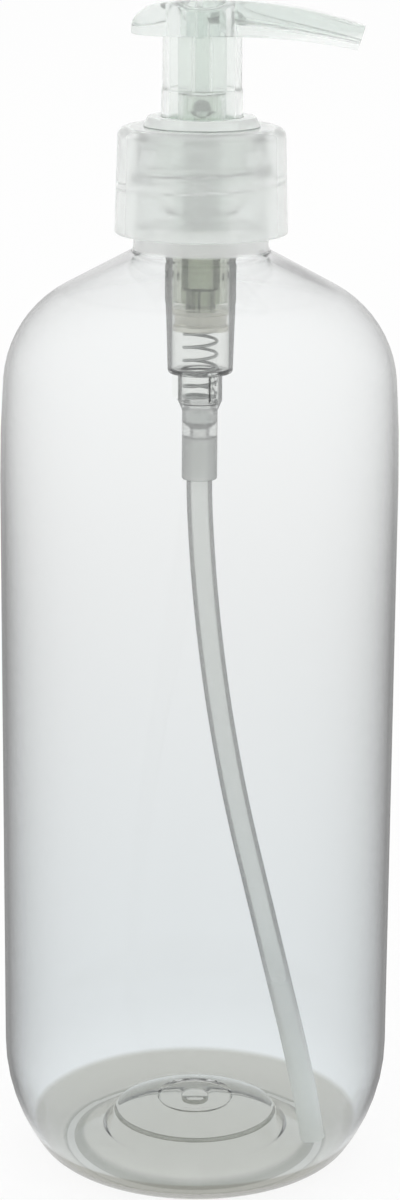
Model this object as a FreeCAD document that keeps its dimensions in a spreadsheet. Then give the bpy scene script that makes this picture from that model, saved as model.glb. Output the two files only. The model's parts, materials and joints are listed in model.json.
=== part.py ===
import FreeCAD, Part
import math
import os

import Sketcher
from FreeCAD import Rotation, Vector

# A clear bottle with a screw-on lotion pump. Millimetres and degrees, +Z up, the origin on the axis
# at the surface the bottle stands on, and the spout along +X.
doc = FreeCAD.newDocument("pump_bottle")

# Driving dimensions
SIZES = {
    # Bottle body
    "body_diameter": 68,
    "bottle_wall": 0.8,
    "heel_height": 20.5,
    "heel_sweep_radius": 31.4,
    "heel_corner_radius": 6.3,
    "stand_width": 1.6,
    "base_wall": 1.1,
    "pushup_land": 5.5,
    "pushup_step_foot": 2.4,
    "pushup_step_height": 3.2,
    "pushup_step_run": 2,
    "dome_rise": 3,
    "gate_diameter": 4.8,
    "gate_height": 0.8,
    "shoulder_sweep_radius": 230,
    "shoulder_sweep_angle": 4.35,
    "shoulder_radius": 19.1,
    "shoulder_slope": 28.3,
    # Neck and its thread
    "neck_base_height": 162,
    "neck_base_length": 4.2,
    "neck_step": 0.55,
    "neck_fillet_radius": 1.5,
    "neck_wall": 1.45,
    "neck_clearance": 0.45,
    "finish_height": 17.4,
    "thread_depth": 1.1,
    "thread_pitch": 3.175,
    "thread_foot_width": 1.4,
    "thread_tip_width": 0.8,
    "thread_gap": 0.2,
    "neck_thread_turns": 1.5,
    "neck_thread_drop": 2.04,
    "collar_thread_turns": 1.25,
    # Collar and the flange stack under it
    "collar_wall": 1.9,
    "collar_draft": 0.5,
    "collar_foot_gap": 2.9,
    "collar_top_thickness": 1.1,
    "collar_corner_radius": 1.7,
    "gasket_thickness": 1,
    "gasket_width": 1.3,
    "flange_thickness": 1,
    "flange_clearance": 0.45,
    "turning_gap": 0.1,
    # Travels and fits
    "stroke": 6.6,
    "piston_play": 0.8,
    "inlet_lift": 1,
    "outlet_lift": 1.2,
    "end_gap": 0.25,
    "running_gap": 0.06,
    "seating_gap": 0.03,
    "clear_gap": 0.2,
    # Chaplet
    "ring_height": 1.55,
    "ring_overlap": 1.73,
    "ring_taper": 0.8,
    "sleeve_wall": 1,
    "chaplet_floor": 0.8,
    "guide_clearance": 0.29,
    "snap_height": 0.2,
    "snap_length": 0.8,
    "snap_rise": 1,
    # Actuator head
    "skirt_foot_diameter": 13.54,
    "skirt_foot_length": 6.4,
    "skirt_relief": 0.17,
    "skirt_wall": 1.1,
    "skirt_engagement": 2,
    "shaft_exposed": 13.45,
    "boss_wall": 0.8,
    "boss_recess": 0.75,
    "head_height": 5.6,
    "head_width": 14.6,
    "rear_reach": 11.8,
    "rear_land": 2.3,
    "crown_radius": 70,
    "crown_shift": 2,
    "spout_reach": 26.75,
    "spout_cut_back": 1.25,
    "spout_tip_width": 6.4,
    "spout_under_radius": 100,
    "spout_under_start": 4,
    "head_edge_radius": 1.2,
    "channel_diameter": 2.4,
    "channel_radius": 105,
    "channel_drop": 3,
    # Stem, plug and piston
    "stem_diameter": 6.4,
    "stem_wall": 1.1,
    "stem_recess": 9.8,
    "stem_shoulder_width": 0.7,
    "port_width": 1.1,
    "port_height": 0.8,
    "shank_wall": 0.87,
    "shank_length": 4.5,
    "flute_depth": 0.8,
    "flute_width": 0.9,
    "flute_count": 3,
    "plug_flange_lip": 0.25,
    "plug_flange_thickness": 1,
    "spigot_length": 1.1,
    "piston_height": 4,
    "piston_clearance": 0.64,
    "piston_lip_length": 0.8,
    "piston_waist": 0.35,
    "piston_skirt_wall": 0.85,
    "piston_hub_thickness": 1.55,
    # Housing
    "cup_clearance": 3.2,
    "cup_wall": 1.05,
    "cup_cone_length": 2.6,
    "cylinder_length": 39.3,
    "cylinder_wall": 1.1,
    "cylinder_taper_length": 12.3,
    "cylinder_step_in": 0.1,
    "cylinder_taper_in": 0.35,
    "cylinder_chamfer": 0.5,
    "step_wall": 0.8,
    "vent_diameter": 1.2,
    "vent_rise": 5.25,
    "stage_clearance": 0.15,
    "stage_wall": 0.55,
    "stage_length": 4.8,
    "stage_cone_length": 1.75,
    "rib_height": 1,
    "rib_thickness": 0.9,
    "rib_count": 3,
    "spring_seat_drop": 0.3,
    "lip_thickness": 0.8,
    "lip_overlap": 0.2,
    "cage_gap": 0.25,
    "inlet_seat": 0.9,
    "socket_web": 1.57,
    "tail_wall": 0.795,
    "tail_length": 11.85,
    "tail_chamfer": 0.5,
    # Balls, spring and tube
    "inlet_ball_diameter": 4,
    "outlet_ball_diameter": 3,
    "outlet_seat": 0.6,
    "outlet_stop": 0.3,
    "spring_diameter": 6.1,
    "spring_wire": 0.55,
    "spring_pitch": 2.35,
    "spring_end_pitch": 1.3,
    "tube_diameter": 4.4,
    "tube_wall": 0.7,
    "tube_start_radius": 120,
    "tube_start_angle": 3,
    "tube_lean_excess": 3.84,
    "tube_return_radius": 310,
    "tube_return_angle": 4,
    "tube_foot_inset": 1.2,
    "tube_foot_gap": 1.95,
    "tube_heading": -16,
}
dims = doc.addObject("Spreadsheet::Sheet", "dims")
for row, (alias, number_set) in enumerate(SIZES.items(), 1):
    dims.set(f"A{row}", alias)
    dims.set(f"B{row}", str(number_set))
    dims.setAlias(f"B{row}", alias)

# Places worked out from the driving dimensions
places = doc.addObject("App::VarSet", "places")


def place(name, formula):
    """One derived radius, height or angle, bound to the sheet."""
    places.addProperty("App::PropertyFloat", name)
    places.setExpression(name, formula)


def number(formula):
    """The present value of a formula on the sheet."""
    return float(places.evalExpression(formula))


# Radii of the pump, from the spring out to the piston's cylinder
place("spring_r", "dims.spring_diameter / 2")
place("spigot_r", "places.spring_r - dims.spring_wire - dims.clear_gap")
place("plug_flange_r", "places.spring_r + dims.plug_flange_lip")
place("piston_inner_r", "places.plug_flange_r + dims.piston_clearance")
place("piston_r", "places.piston_inner_r + dims.piston_skirt_wall")
place("waist_r", "places.piston_r - dims.piston_waist")
place("cylinder_bore_r", "places.piston_r + dims.running_gap")
place("cylinder_r", "places.cylinder_bore_r + dims.cylinder_wall")
place("cylinder_taper_r", "places.cylinder_r - dims.cylinder_step_in")
place("cylinder_foot_r", "places.cylinder_taper_r - dims.cylinder_taper_in")
place("stage_bore_r", "places.spring_r + dims.stage_clearance")
place("stage_r", "places.stage_bore_r + dims.stage_wall")
place("rib_r", "places.stage_r + dims.rib_height")

# Radii of the stem, its plug and its guide
place("stem_r", "dims.stem_diameter / 2")
place("stem_bore_r", "places.stem_r - dims.stem_wall")
place("piston_seat_r", "places.stem_r - dims.stem_shoulder_width")
place("hub_bore_r", "places.piston_seat_r + dims.running_gap")
place("shank_hole_r", "places.piston_seat_r - dims.shank_wall")
place("shank_r", "places.shank_hole_r - dims.seating_gap")
place("flute_core_r", "places.shank_r - dims.flute_depth")
place("socket_r", "places.stem_r + dims.seating_gap")
place("boss_r", "places.socket_r + dims.boss_wall")
place("guide_bore_r", "places.stem_r + dims.running_gap")
place("guide_r", "places.cylinder_bore_r - dims.guide_clearance")

# Radii of the neck, from the head's skirt out to the collar
place("skirt_foot_r", "dims.skirt_foot_diameter / 2")
place("skirt_r", "places.skirt_foot_r - dims.skirt_relief")
place("skirt_inner_r", "places.skirt_r - dims.skirt_wall")
place("cup_bore_r", "places.skirt_foot_r + dims.turning_gap")
place("sleeve_r", "places.cup_bore_r + dims.sleeve_wall")
place("snap_r", "places.sleeve_r + dims.snap_height")
place("housing_snap_r", "places.snap_r + dims.seating_gap")
place("housing_cup_bore_r", "places.sleeve_r + dims.seating_gap")
place("housing_cup_r", "places.housing_cup_bore_r + dims.cup_wall")
place("neck_bore_r", "places.housing_cup_r + dims.neck_clearance")
place("thread_root_r", "places.neck_bore_r + dims.neck_wall")
place("neck_r", "places.thread_root_r + dims.neck_step")
place("thread_r", "places.thread_root_r + dims.thread_depth")
place("collar_bore_r", "places.thread_r + dims.thread_gap")
place("collar_top_r", "places.collar_bore_r + dims.collar_wall")
place("collar_foot_r", "places.collar_top_r + dims.collar_draft")
place("flange_r", "places.collar_bore_r - dims.flange_clearance")
place("collar_hole_r", "places.sleeve_r + dims.clear_gap")
place("ring_foot_r", "places.collar_hole_r + dims.ring_overlap")
place("ring_top_r", "places.ring_foot_r - dims.ring_taper")

# Bottle outline
place("body_r", "dims.body_diameter / 2")
place("heel_offset", "dims.heel_sweep_radius - dims.heel_corner_radius")
place("heel_fall", "dims.heel_height - dims.heel_corner_radius")
place("heel_run", "sqrt(places.heel_offset^2 - places.heel_fall^2)")
place("heel_centre_r", "places.body_r - dims.heel_sweep_radius")
place("stand_r", "places.heel_centre_r + places.heel_run")
place("heel_inner_sweep", "dims.heel_sweep_radius - dims.bottle_wall")
place("heel_cos", "places.heel_run / places.heel_offset")
place("heel_sin", "places.heel_fall / places.heel_offset")
place("stand_inner_r", "places.stand_r - dims.stand_width")
place("step_foot_r", "places.stand_inner_r - dims.pushup_land")
place("step_top_r", "places.step_foot_r - dims.pushup_step_run")
place("step_top", "dims.pushup_step_foot + dims.pushup_step_height")
place("dome_top", "places.step_top + dims.dome_rise")
place("dome_radius", "(places.step_top_r^2 + dims.dome_rise^2) / (2 * dims.dome_rise)")
place("dome_centre", "places.dome_top - places.dome_radius")
place("gate_r", "dims.gate_diameter / 2")
place("gate_root", "places.dome_centre + sqrt(places.dome_radius^2 - places.gate_r^2)")
place("neck_fillet_reach", "dims.neck_fillet_radius * tan((90 - dims.shoulder_slope) / 2)")
place("sweep_end_r", "places.body_r - dims.shoulder_sweep_radius * (1 - cos(dims.shoulder_sweep_angle))")
place("sweep_rise", "dims.shoulder_sweep_radius * sin(dims.shoulder_sweep_angle)")
place("cone_foot_r", "places.sweep_end_r - dims.shoulder_radius"
      " * (cos(dims.shoulder_sweep_angle) - sin(dims.shoulder_slope))")
place("arc_rise", "dims.shoulder_radius * (cos(dims.shoulder_slope) - sin(dims.shoulder_sweep_angle))")
place("cone_foot", "dims.neck_base_height - (places.cone_foot_r - places.neck_r) * tan(dims.shoulder_slope)")
place("sweep_end", "places.cone_foot - places.arc_rise")
place("wall_top", "places.sweep_end - places.sweep_rise")
place("bore_foot", "dims.neck_base_height + (places.neck_r - places.neck_bore_r) * tan(dims.shoulder_slope)"
      " - dims.bottle_wall / cos(dims.shoulder_slope)")
place("neck_base_top", "dims.neck_base_height + dims.neck_base_length")
place("rim", "dims.neck_base_height + dims.finish_height")
place("neck_thread_z", "places.rim - dims.neck_thread_drop - dims.neck_thread_turns * dims.thread_pitch")

# Flange stack, from the rim up
place("flange_under", "places.rim + dims.gasket_thickness")
place("flange_top", "places.flange_under + dims.flange_thickness")
place("collar_ceiling", "places.flange_top + dims.turning_gap")
place("collar_top", "places.collar_ceiling + dims.collar_top_thickness")
place("collar_foot", "dims.neck_base_height + dims.collar_foot_gap")
place("ring_under", "places.collar_top + dims.turning_gap")
place("ring_top", "places.ring_under + dims.ring_height")

# Heights of the head, the chaplet and the stem's top, from the ring
place("skirt_foot", "places.ring_top - dims.skirt_engagement")
place("skirt_step", "places.skirt_foot + dims.skirt_foot_length")
place("head_under", "places.ring_top + dims.shaft_exposed")
place("skirt_roof", "places.head_under - dims.skirt_wall")
place("stem_top", "places.head_under - dims.stem_recess")
place("boss_foot", "places.skirt_foot + dims.boss_recess")
place("cup_floor", "places.skirt_foot - dims.stroke - dims.end_gap")
place("chaplet_under", "places.cup_floor - dims.chaplet_floor")
place("snap_foot", "places.chaplet_under + dims.snap_rise")
place("snap_top", "places.snap_foot + dims.snap_length")

# Heights of the housing, from the flange down
place("housing_cup_foot", "places.chaplet_under - dims.cup_clearance")
place("cylinder_top", "places.housing_cup_foot - dims.cup_cone_length")
place("cylinder_end", "places.flange_under - dims.cylinder_length")
place("cylinder_step", "places.cylinder_end + dims.cylinder_taper_length")
place("cylinder_floor", "places.cylinder_end + dims.step_wall")
place("stage_foot", "places.cylinder_end - dims.stage_length")
place("spring_seat", "places.stage_foot - dims.spring_seat_drop")
place("lip_under", "places.spring_seat - dims.lip_thickness")
place("inlet_ball_r", "dims.inlet_ball_diameter / 2")
place("lip_r", "places.inlet_ball_r - dims.lip_overlap")
place("cage_r", "places.inlet_ball_r + dims.cage_gap")
place("inlet_bore_r", "places.inlet_ball_r - dims.inlet_seat")
place("inlet_ball_z", "places.lip_under - dims.inlet_lift - sqrt(places.inlet_ball_r^2 - places.lip_r^2)")
place("inlet_cone", "places.inlet_ball_z - sqrt(2) * places.inlet_ball_r - dims.seating_gap")
place("socket_top", "places.inlet_cone + places.inlet_bore_r - dims.socket_web")
place("socket_bore_r", "dims.tube_diameter / 2 + dims.seating_gap")
place("tail_top", "places.stage_foot - dims.stage_cone_length")
place("tail_foot", "places.tail_top - dims.tail_length")
place("tail_r", "places.socket_bore_r + dims.tail_wall")

# Heights of the piston, the plug and the valves
place("piston_foot", "places.cylinder_floor + dims.stroke + dims.end_gap")
place("piston_top", "places.piston_foot + dims.piston_height")
place("waist_foot", "places.piston_foot + dims.piston_lip_length + dims.piston_waist")
place("waist_top", "places.piston_top - dims.piston_lip_length - dims.piston_waist")
place("hub_under", "places.piston_top - dims.piston_hub_thickness")
place("vent_z", "places.piston_top + dims.vent_rise")
place("guide_foot", "places.piston_top + dims.piston_play + dims.turning_gap")
place("stem_shoulder", "places.piston_top + dims.piston_play + dims.seating_gap")
place("plug_top", "places.hub_under - dims.turning_gap")
place("plug_under", "places.plug_top - dims.plug_flange_thickness")
place("shank_top", "places.plug_top + dims.shank_length")
place("outlet_ball_r", "dims.outlet_ball_diameter / 2")
place("riser_r", "places.outlet_ball_r - dims.outlet_stop")
place("throat_r", "places.outlet_ball_r - dims.outlet_seat")
place("chamber_r", "places.outlet_ball_r + dims.cage_gap")
place("outlet_ball_z", "places.stem_top - dims.outlet_lift - dims.seating_gap"
      " - sqrt(places.outlet_ball_r^2 - places.riser_r^2)")
place("outlet_cone", "places.outlet_ball_z - sqrt(2) * places.outlet_ball_r - dims.seating_gap")
place("throat_top", "places.outlet_cone + places.throat_r")

# Head outline
place("crown", "places.head_under + dims.head_height")
place("crown_centre", "places.crown - dims.crown_radius")
place("rear_corner_r", "dims.head_height - dims.rear_land")
place("rear_centre_x", "places.rear_corner_r - dims.rear_reach")
place("rear_offset", "dims.crown_radius - places.rear_corner_r")
place("rear_lean", "places.rear_centre_x - dims.crown_shift")
place("rear_rise", "sqrt(places.rear_offset^2 - places.rear_lean^2)")
place("rear_centre", "places.crown_centre + places.rear_rise")
place("crown_rear_x", "dims.crown_shift + dims.crown_radius * places.rear_lean / places.rear_offset")
place("crown_rear", "places.crown_centre + dims.crown_radius * places.rear_rise / places.rear_offset")
place("tip_top", "places.crown_centre + sqrt(dims.crown_radius^2 - (dims.spout_reach - dims.crown_shift)^2)")
place("tip_under_x", "dims.spout_reach - dims.spout_cut_back")
place("tip_under", "places.head_under - dims.spout_under_radius"
      " + sqrt(dims.spout_under_radius^2 - (places.tip_under_x - dims.spout_under_start)^2)")
place("channel_z", "places.crown - dims.channel_drop")
place("channel_end_x", "dims.spout_reach + dims.channel_diameter")
place("channel_end_z", "places.channel_z - dims.channel_radius"
      " + sqrt(dims.channel_radius^2 - places.channel_end_x^2)")
place("head_half", "dims.head_width / 2")
place("head_rear_x", "places.head_half - dims.rear_reach")

# Route of the tube, from the tail's mouth to just inside the bottle's standing ring
place("tube_foot_x", "places.stand_r - dims.tube_foot_inset")
place("tube_foot_z", "dims.base_wall + dims.tube_foot_gap")
place("tube_drop", "places.tail_foot - places.tube_foot_z")
place("tube_lean", "atan(places.tube_foot_x / places.tube_drop) / 1 deg + dims.tube_lean_excess")
place("tube_turn", "places.tube_lean - dims.tube_start_angle")
place("tube_end_lean", "places.tube_lean - dims.tube_return_angle")
place("tube_start_x", "dims.tube_start_radius * (1 - cos(dims.tube_start_angle))")
place("tube_start_drop", "dims.tube_start_radius * sin(dims.tube_start_angle)")
place("tube_return_side", "dims.tube_return_radius * (1 - cos(dims.tube_return_angle))")
place("tube_bend_radius", "((places.tube_start_x - places.tube_foot_x) * cos(places.tube_lean)"
      " + (places.tube_drop - places.tube_start_drop) * sin(places.tube_lean)"
      " - places.tube_return_side) / (1 - cos(places.tube_turn))")
place("tube_bend_x", "places.tube_start_x"
      " + places.tube_bend_radius * (cos(dims.tube_start_angle) - cos(places.tube_lean))")
place("tube_bend_drop", "places.tube_start_drop"
      " + places.tube_bend_radius * (sin(places.tube_lean) - sin(dims.tube_start_angle))")
place("tube_run_x", "places.tube_foot_x"
      " - dims.tube_return_radius * (cos(places.tube_end_lean) - cos(places.tube_lean))")
place("tube_run_z", "places.tube_foot_z"
      " + dims.tube_return_radius * (sin(places.tube_lean) - sin(places.tube_end_lean))")
doc.recompute()

# Drawing helpers
def plane(body, role):
    """A body's own origin plane."""
    for feature in body.Origin.OriginFeatures:
        if feature.Role == role:
            return feature
    raise ValueError(role)


def new_body(label):
    body = doc.addObject("PartDesign::Body", label)
    body.Label = label
    return body


def new_sketch(body, name, role):
    sketch = body.newObject("Sketcher::SketchObject", name)
    sketch.AttachmentSupport = (plane(body, role), "")
    sketch.MapMode = "FlatFace"
    return sketch


def dimension(sketch, formula, kind, *where):
    """A driving constraint of a sketch, bound to a formula."""
    index = sketch.addConstraint(Sketcher.Constraint(kind, *where, number(formula)))
    sketch.setExpression(f"Constraints[{index}]", formula)


def arc_between(start, finish, radius, turn):
    """The short arc from start to finish; turn is 1 for an arc that goes round to the left."""
    chord = finish - start
    across = Vector(-chord.y, chord.x, 0).normalize()
    centre = (start + finish) * 0.5 + across * turn * math.sqrt(radius ** 2 - chord.Length ** 2 / 4)
    ends = (start, finish) if turn > 0 else (finish, start)
    angles = [math.atan2(end.y - centre.y, end.x - centre.x) for end in ends]
    return Part.ArcOfCircle(Part.Circle(centre, Vector(0, 0, 1), radius), *angles)


def draw_path(sketch, corners, closed):
    """Edges through corners of (across, up), or (across, up, radius, turn) where an arc arrives."""
    spots = [Vector(number(corner[0]), number(corner[1]), 0) for corner in corners]
    first = 0 if closed else 1
    edges = []
    ends = []
    for index in range(first, len(corners)):
        start, finish, corner = spots[index - 1], spots[index], corners[index]
        if len(corner) == 2:
            edges.append(Part.LineSegment(start, finish))
            ends.append((1, 2))
        else:
            edges.append(arc_between(start, finish, number(corner[2]), corner[3]))
            ends.append((1, 2) if corner[3] > 0 else (2, 1))
    base = sketch.GeometryCount
    sketch.addGeometry(edges, False)
    joints = range(len(edges)) if closed else range(len(edges) - 1)
    for index in joints:
        after = (index + 1) % len(edges)
        sketch.addConstraint(Sketcher.Constraint(
            "Coincident", base + index, ends[index][1], base + after, ends[after][0]))
    if not closed:
        dimension(sketch, corners[0][0], "DistanceX", base, ends[0][0])
        dimension(sketch, corners[0][1], "DistanceY", base, ends[0][0])
    for index, corner in enumerate(corners[first:]):
        dimension(sketch, corner[0], "DistanceX", base + index, ends[index][1])
        dimension(sketch, corner[1], "DistanceY", base + index, ends[index][1])
        if len(corner) > 2:
            dimension(sketch, corner[2], "Radius", base + index)


def draw_circle(sketch, across, up, diameter):
    """A whole circle, its centre held at (across, up)."""
    centre = Vector(number(across), number(up), 0)
    index = sketch.addGeometry(Part.Circle(centre, Vector(0, 0, 1), number(diameter) / 2), False)
    dimension(sketch, across, "DistanceX", index, 3)
    dimension(sketch, up, "DistanceY", index, 3)
    dimension(sketch, diameter, "Diameter", index)


def revolve(body, name, corners):
    """A solid turned about Z from an outline of (radius, height) corners."""
    sketch = new_sketch(body, f"{name}_outline", "XZ_Plane")
    draw_path(sketch, corners, True)
    solid = body.newObject("PartDesign::Revolution", name)
    solid.Profile = sketch
    solid.ReferenceAxis = (sketch, ["V_Axis"])
    solid.Angle = 360
    doc.recompute()
    return solid


def turned(label, corners):
    """A body that is one turned solid."""
    body = new_body(label)
    revolve(body, f"{label}_turned", corners)
    return body


def cut_pocket(body, name, sketch, depth):
    """A pocket through both sides of its sketch, checked to have cut something."""
    before = body.Shape.Volume
    pocket = body.newObject("PartDesign::Pocket", name)
    pocket.Profile = sketch
    pocket.Midplane = True
    pocket.setExpression("Length", depth)
    doc.recompute()
    assert body.Shape.Volume < before, name
    return pocket


def polar(body, name, feature, count, angle):
    """Copies of a feature about Z."""
    pattern = body.newObject("PartDesign::PolarPattern", name)
    pattern.Originals = [feature]
    pattern.Axis = (feature.Profile[0], ["V_Axis"])
    pattern.Angle = angle
    pattern.setExpression("Occurrences", count)
    body.Tip = pattern
    doc.recompute()
    return pattern


def add_thread(body, name, root, tip, centre, turns):
    """A right-hand thread of trapezoid section, sunk a little into the wall at root."""
    sketch = new_sketch(body, f"{name}_section", "XZ_Plane")
    draw_path(sketch, [
        (root, f"{centre} - dims.thread_foot_width / 2"),
        (tip, f"{centre} - dims.thread_tip_width / 2"),
        (tip, f"{centre} + dims.thread_tip_width / 2"),
        (root, f"{centre} + dims.thread_foot_width / 2"),
    ], True)
    before = body.Shape.Volume
    helix = body.newObject("PartDesign::AdditiveHelix", name)
    helix.Profile = sketch
    helix.ReferenceAxis = (sketch, ["V_Axis"])
    helix.Mode = "pitch-turns-angle"
    helix.setExpression("Pitch", "dims.thread_pitch")
    helix.setExpression("Turns", turns)
    doc.recompute()
    assert body.Shape.Volume > before, name


# Bottle: pushed-up base, swept heel, straight wall, domed shoulder and screw neck
bottle = turned("bottle", [
    ("0", "places.gate_root - dims.gate_height"),
    ("places.gate_r", "places.gate_root - dims.gate_height"),
    ("places.gate_r", "places.gate_root"),
    ("places.step_top_r", "places.step_top", "places.dome_radius", -1),
    ("places.step_foot_r", "dims.pushup_step_foot"),
    ("places.stand_inner_r", "0"),
    ("places.stand_r", "0"),
    ("places.heel_centre_r + dims.heel_sweep_radius * places.heel_cos",
     "dims.heel_height - dims.heel_sweep_radius * places.heel_sin", "dims.heel_corner_radius", 1),
    ("places.body_r", "dims.heel_height", "dims.heel_sweep_radius", 1),
    ("places.body_r", "places.wall_top"),
    ("places.sweep_end_r", "places.sweep_end", "dims.shoulder_sweep_radius", 1),
    ("places.cone_foot_r", "places.cone_foot", "dims.shoulder_radius", 1),
    ("places.neck_r + places.neck_fillet_reach * cos(dims.shoulder_slope)",
     "dims.neck_base_height - places.neck_fillet_reach * sin(dims.shoulder_slope)"),
    ("places.neck_r", "dims.neck_base_height + places.neck_fillet_reach", "dims.neck_fillet_radius", -1),
    ("places.neck_r", "places.neck_base_top"),
    ("places.thread_root_r", "places.neck_base_top + places.neck_r - places.thread_root_r"),
    ("places.thread_root_r", "places.rim"),
    ("places.neck_bore_r", "places.rim"),
    ("places.neck_bore_r", "places.bore_foot"),
    ("places.cone_foot_r - dims.bottle_wall * sin(dims.shoulder_slope)",
     "places.cone_foot - dims.bottle_wall * cos(dims.shoulder_slope)"),
    ("places.sweep_end_r - dims.bottle_wall * cos(dims.shoulder_sweep_angle)",
     "places.sweep_end - dims.bottle_wall * sin(dims.shoulder_sweep_angle)",
     "dims.shoulder_radius - dims.bottle_wall", -1),
    ("places.body_r - dims.bottle_wall", "places.wall_top",
     "dims.shoulder_sweep_radius - dims.bottle_wall", -1),
    ("places.body_r - dims.bottle_wall", "dims.heel_height"),
    ("places.heel_centre_r + places.heel_inner_sweep * places.heel_cos",
     "dims.heel_height - places.heel_inner_sweep * places.heel_sin", "places.heel_inner_sweep", -1),
    ("places.stand_r", "dims.bottle_wall", "dims.heel_corner_radius - dims.bottle_wall", -1),
    ("places.stand_inner_r", "dims.base_wall"),
    ("places.step_foot_r", "dims.pushup_step_foot + dims.base_wall"),
    ("places.step_top_r", "places.step_top + dims.base_wall"),
    ("0", "places.dome_top + dims.base_wall", "places.dome_radius", 1),
])
add_thread(bottle, "neck_thread", "places.thread_root_r - dims.thread_gap", "places.thread_r",
           "places.neck_thread_z", "dims.neck_thread_turns")

# Collar: smooth screw closure, free to turn under the chaplet's ring
collar = turned("collar", [
    ("places.collar_hole_r", "places.collar_ceiling"),
    ("places.collar_bore_r", "places.collar_ceiling"),
    ("places.collar_bore_r", "places.collar_foot"),
    ("places.collar_foot_r", "places.collar_foot"),
    ("places.collar_top_r", "places.collar_top - dims.collar_corner_radius"),
    ("places.collar_top_r - dims.collar_corner_radius", "places.collar_top",
     "dims.collar_corner_radius", 1),
    ("places.collar_hole_r", "places.collar_top"),
])
add_thread(collar, "collar_thread", "places.collar_bore_r + dims.thread_gap",
           "places.thread_root_r + dims.thread_gap",
           "places.neck_thread_z - dims.thread_pitch / 2", "dims.collar_thread_turns")

# Gasket: flat ring on the rim
gasket = turned("gasket", [
    ("places.thread_root_r - dims.gasket_width", "places.rim"),
    ("places.thread_root_r", "places.rim"),
    ("places.thread_root_r", "places.flange_under"),
    ("places.thread_root_r - dims.gasket_width", "places.flange_under"),
])

# Chaplet: ring, cup for the head's skirt, and the long guide that stops the piston
chaplet = turned("chaplet", [
    ("places.guide_bore_r", "places.guide_foot"),
    ("places.guide_r", "places.guide_foot"),
    ("places.guide_r", "places.chaplet_under"),
    ("places.sleeve_r", "places.chaplet_under"),
    ("places.sleeve_r", "places.snap_foot"),
    ("places.snap_r", "places.snap_foot + dims.snap_height"),
    ("places.snap_r", "places.snap_top - dims.snap_height"),
    ("places.sleeve_r", "places.snap_top"),
    ("places.sleeve_r", "places.ring_under"),
    ("places.ring_foot_r", "places.ring_under"),
    ("places.ring_top_r", "places.ring_top"),
    ("places.cup_bore_r", "places.ring_top"),
    ("places.cup_bore_r", "places.cup_floor"),
    ("places.guide_bore_r", "places.cup_floor"),
])

# Housing: flange, wide cup, cylinder, spring chamber, valve cage and tail
housing = turned("housing", [
    ("places.inlet_bore_r", "places.socket_top"),
    ("places.socket_bore_r", "places.socket_top"),
    ("places.socket_bore_r", "places.tail_foot"),
    ("places.tail_r - dims.tail_chamfer", "places.tail_foot"),
    ("places.tail_r", "places.tail_foot + dims.tail_chamfer"),
    ("places.tail_r", "places.tail_top"),
    ("places.stage_r", "places.stage_foot"),
    ("places.stage_r", "places.cylinder_end"),
    ("places.cylinder_foot_r - dims.cylinder_chamfer", "places.cylinder_end"),
    ("places.cylinder_foot_r", "places.cylinder_end + dims.cylinder_chamfer"),
    ("places.cylinder_taper_r", "places.cylinder_step"),
    ("places.cylinder_r", "places.cylinder_step"),
    ("places.cylinder_r", "places.cylinder_top"),
    ("places.housing_cup_r", "places.housing_cup_foot"),
    ("places.housing_cup_r", "places.flange_under"),
    ("places.flange_r", "places.flange_under"),
    ("places.flange_r", "places.flange_top"),
    ("places.housing_cup_bore_r", "places.flange_top"),
    ("places.housing_cup_bore_r", "places.snap_top"),
    ("places.housing_snap_r", "places.snap_top - dims.snap_height"),
    ("places.housing_snap_r", "places.snap_foot + dims.snap_height"),
    ("places.housing_cup_bore_r", "places.snap_foot"),
    ("places.housing_cup_bore_r", "places.housing_cup_foot"),
    ("places.cylinder_bore_r", "places.cylinder_top"),
    ("places.cylinder_bore_r", "places.cylinder_floor"),
    ("places.stage_bore_r", "places.cylinder_floor"),
    ("places.stage_bore_r", "places.spring_seat"),
    ("places.lip_r", "places.spring_seat"),
    ("places.lip_r", "places.lip_under"),
    ("places.cage_r", "places.lip_under"),
    ("places.cage_r", "places.inlet_cone + places.cage_r"),
    ("places.inlet_bore_r", "places.inlet_cone + places.inlet_bore_r"),
])

ribs = new_sketch(housing, "rib_outline", "XZ_Plane")
draw_path(ribs, [
    ("-places.rib_r", "places.cylinder_end"),
    ("-places.rib_r", "places.stage_foot + dims.rib_height"),
    ("-places.stage_r", "places.stage_foot"),
    ("-places.stage_bore_r - dims.clear_gap", "places.stage_foot"),
    ("-places.stage_bore_r - dims.clear_gap", "places.cylinder_end"),
], True)
rib = housing.newObject("PartDesign::Pad", "rib")
rib.Profile = ribs
rib.Midplane = True
rib.setExpression("Length", "dims.rib_thickness")
doc.recompute()
polar(housing, "rib_ring", rib, "dims.rib_count", 360)
vent = new_sketch(housing, "vent_outline", "YZ_Plane")
draw_circle(vent, "0", "places.vent_z", "dims.vent_diameter")
cut_pocket(housing, "vent", vent, "4 * places.cylinder_r")

# Stem: hollow rod with the outlet valve's seat at its top and ports at its foot
stem = turned("stem", [
    ("places.shank_hole_r", "places.plug_top"),
    ("places.piston_seat_r", "places.plug_top"),
    ("places.piston_seat_r", "places.stem_shoulder"),
    ("places.stem_r", "places.stem_shoulder"),
    ("places.stem_r", "places.stem_top"),
    ("places.chamber_r", "places.stem_top"),
    ("places.chamber_r", "places.outlet_cone + places.chamber_r"),
    ("places.throat_r", "places.throat_top"),
    ("places.throat_r", "places.outlet_cone"),
    ("places.stem_bore_r", "places.outlet_cone - places.stem_bore_r + places.throat_r"),
    ("places.stem_bore_r", "places.shank_top + places.stem_bore_r - places.shank_hole_r"),
    ("places.shank_hole_r", "places.shank_top"),
])
ports = new_sketch(stem, "port_outline", "XZ_Plane")
draw_path(ports, [
    ("-dims.port_width / 2", "places.plug_top"),
    ("dims.port_width / 2", "places.plug_top"),
    ("dims.port_width / 2", "places.plug_top + dims.port_height"),
    ("-dims.port_width / 2", "places.plug_top + dims.port_height"),
], True)
port = cut_pocket(stem, "port", ports, "4 * places.piston_seat_r")
polar(stem, "port_pair", port, "2", 90)

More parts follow.
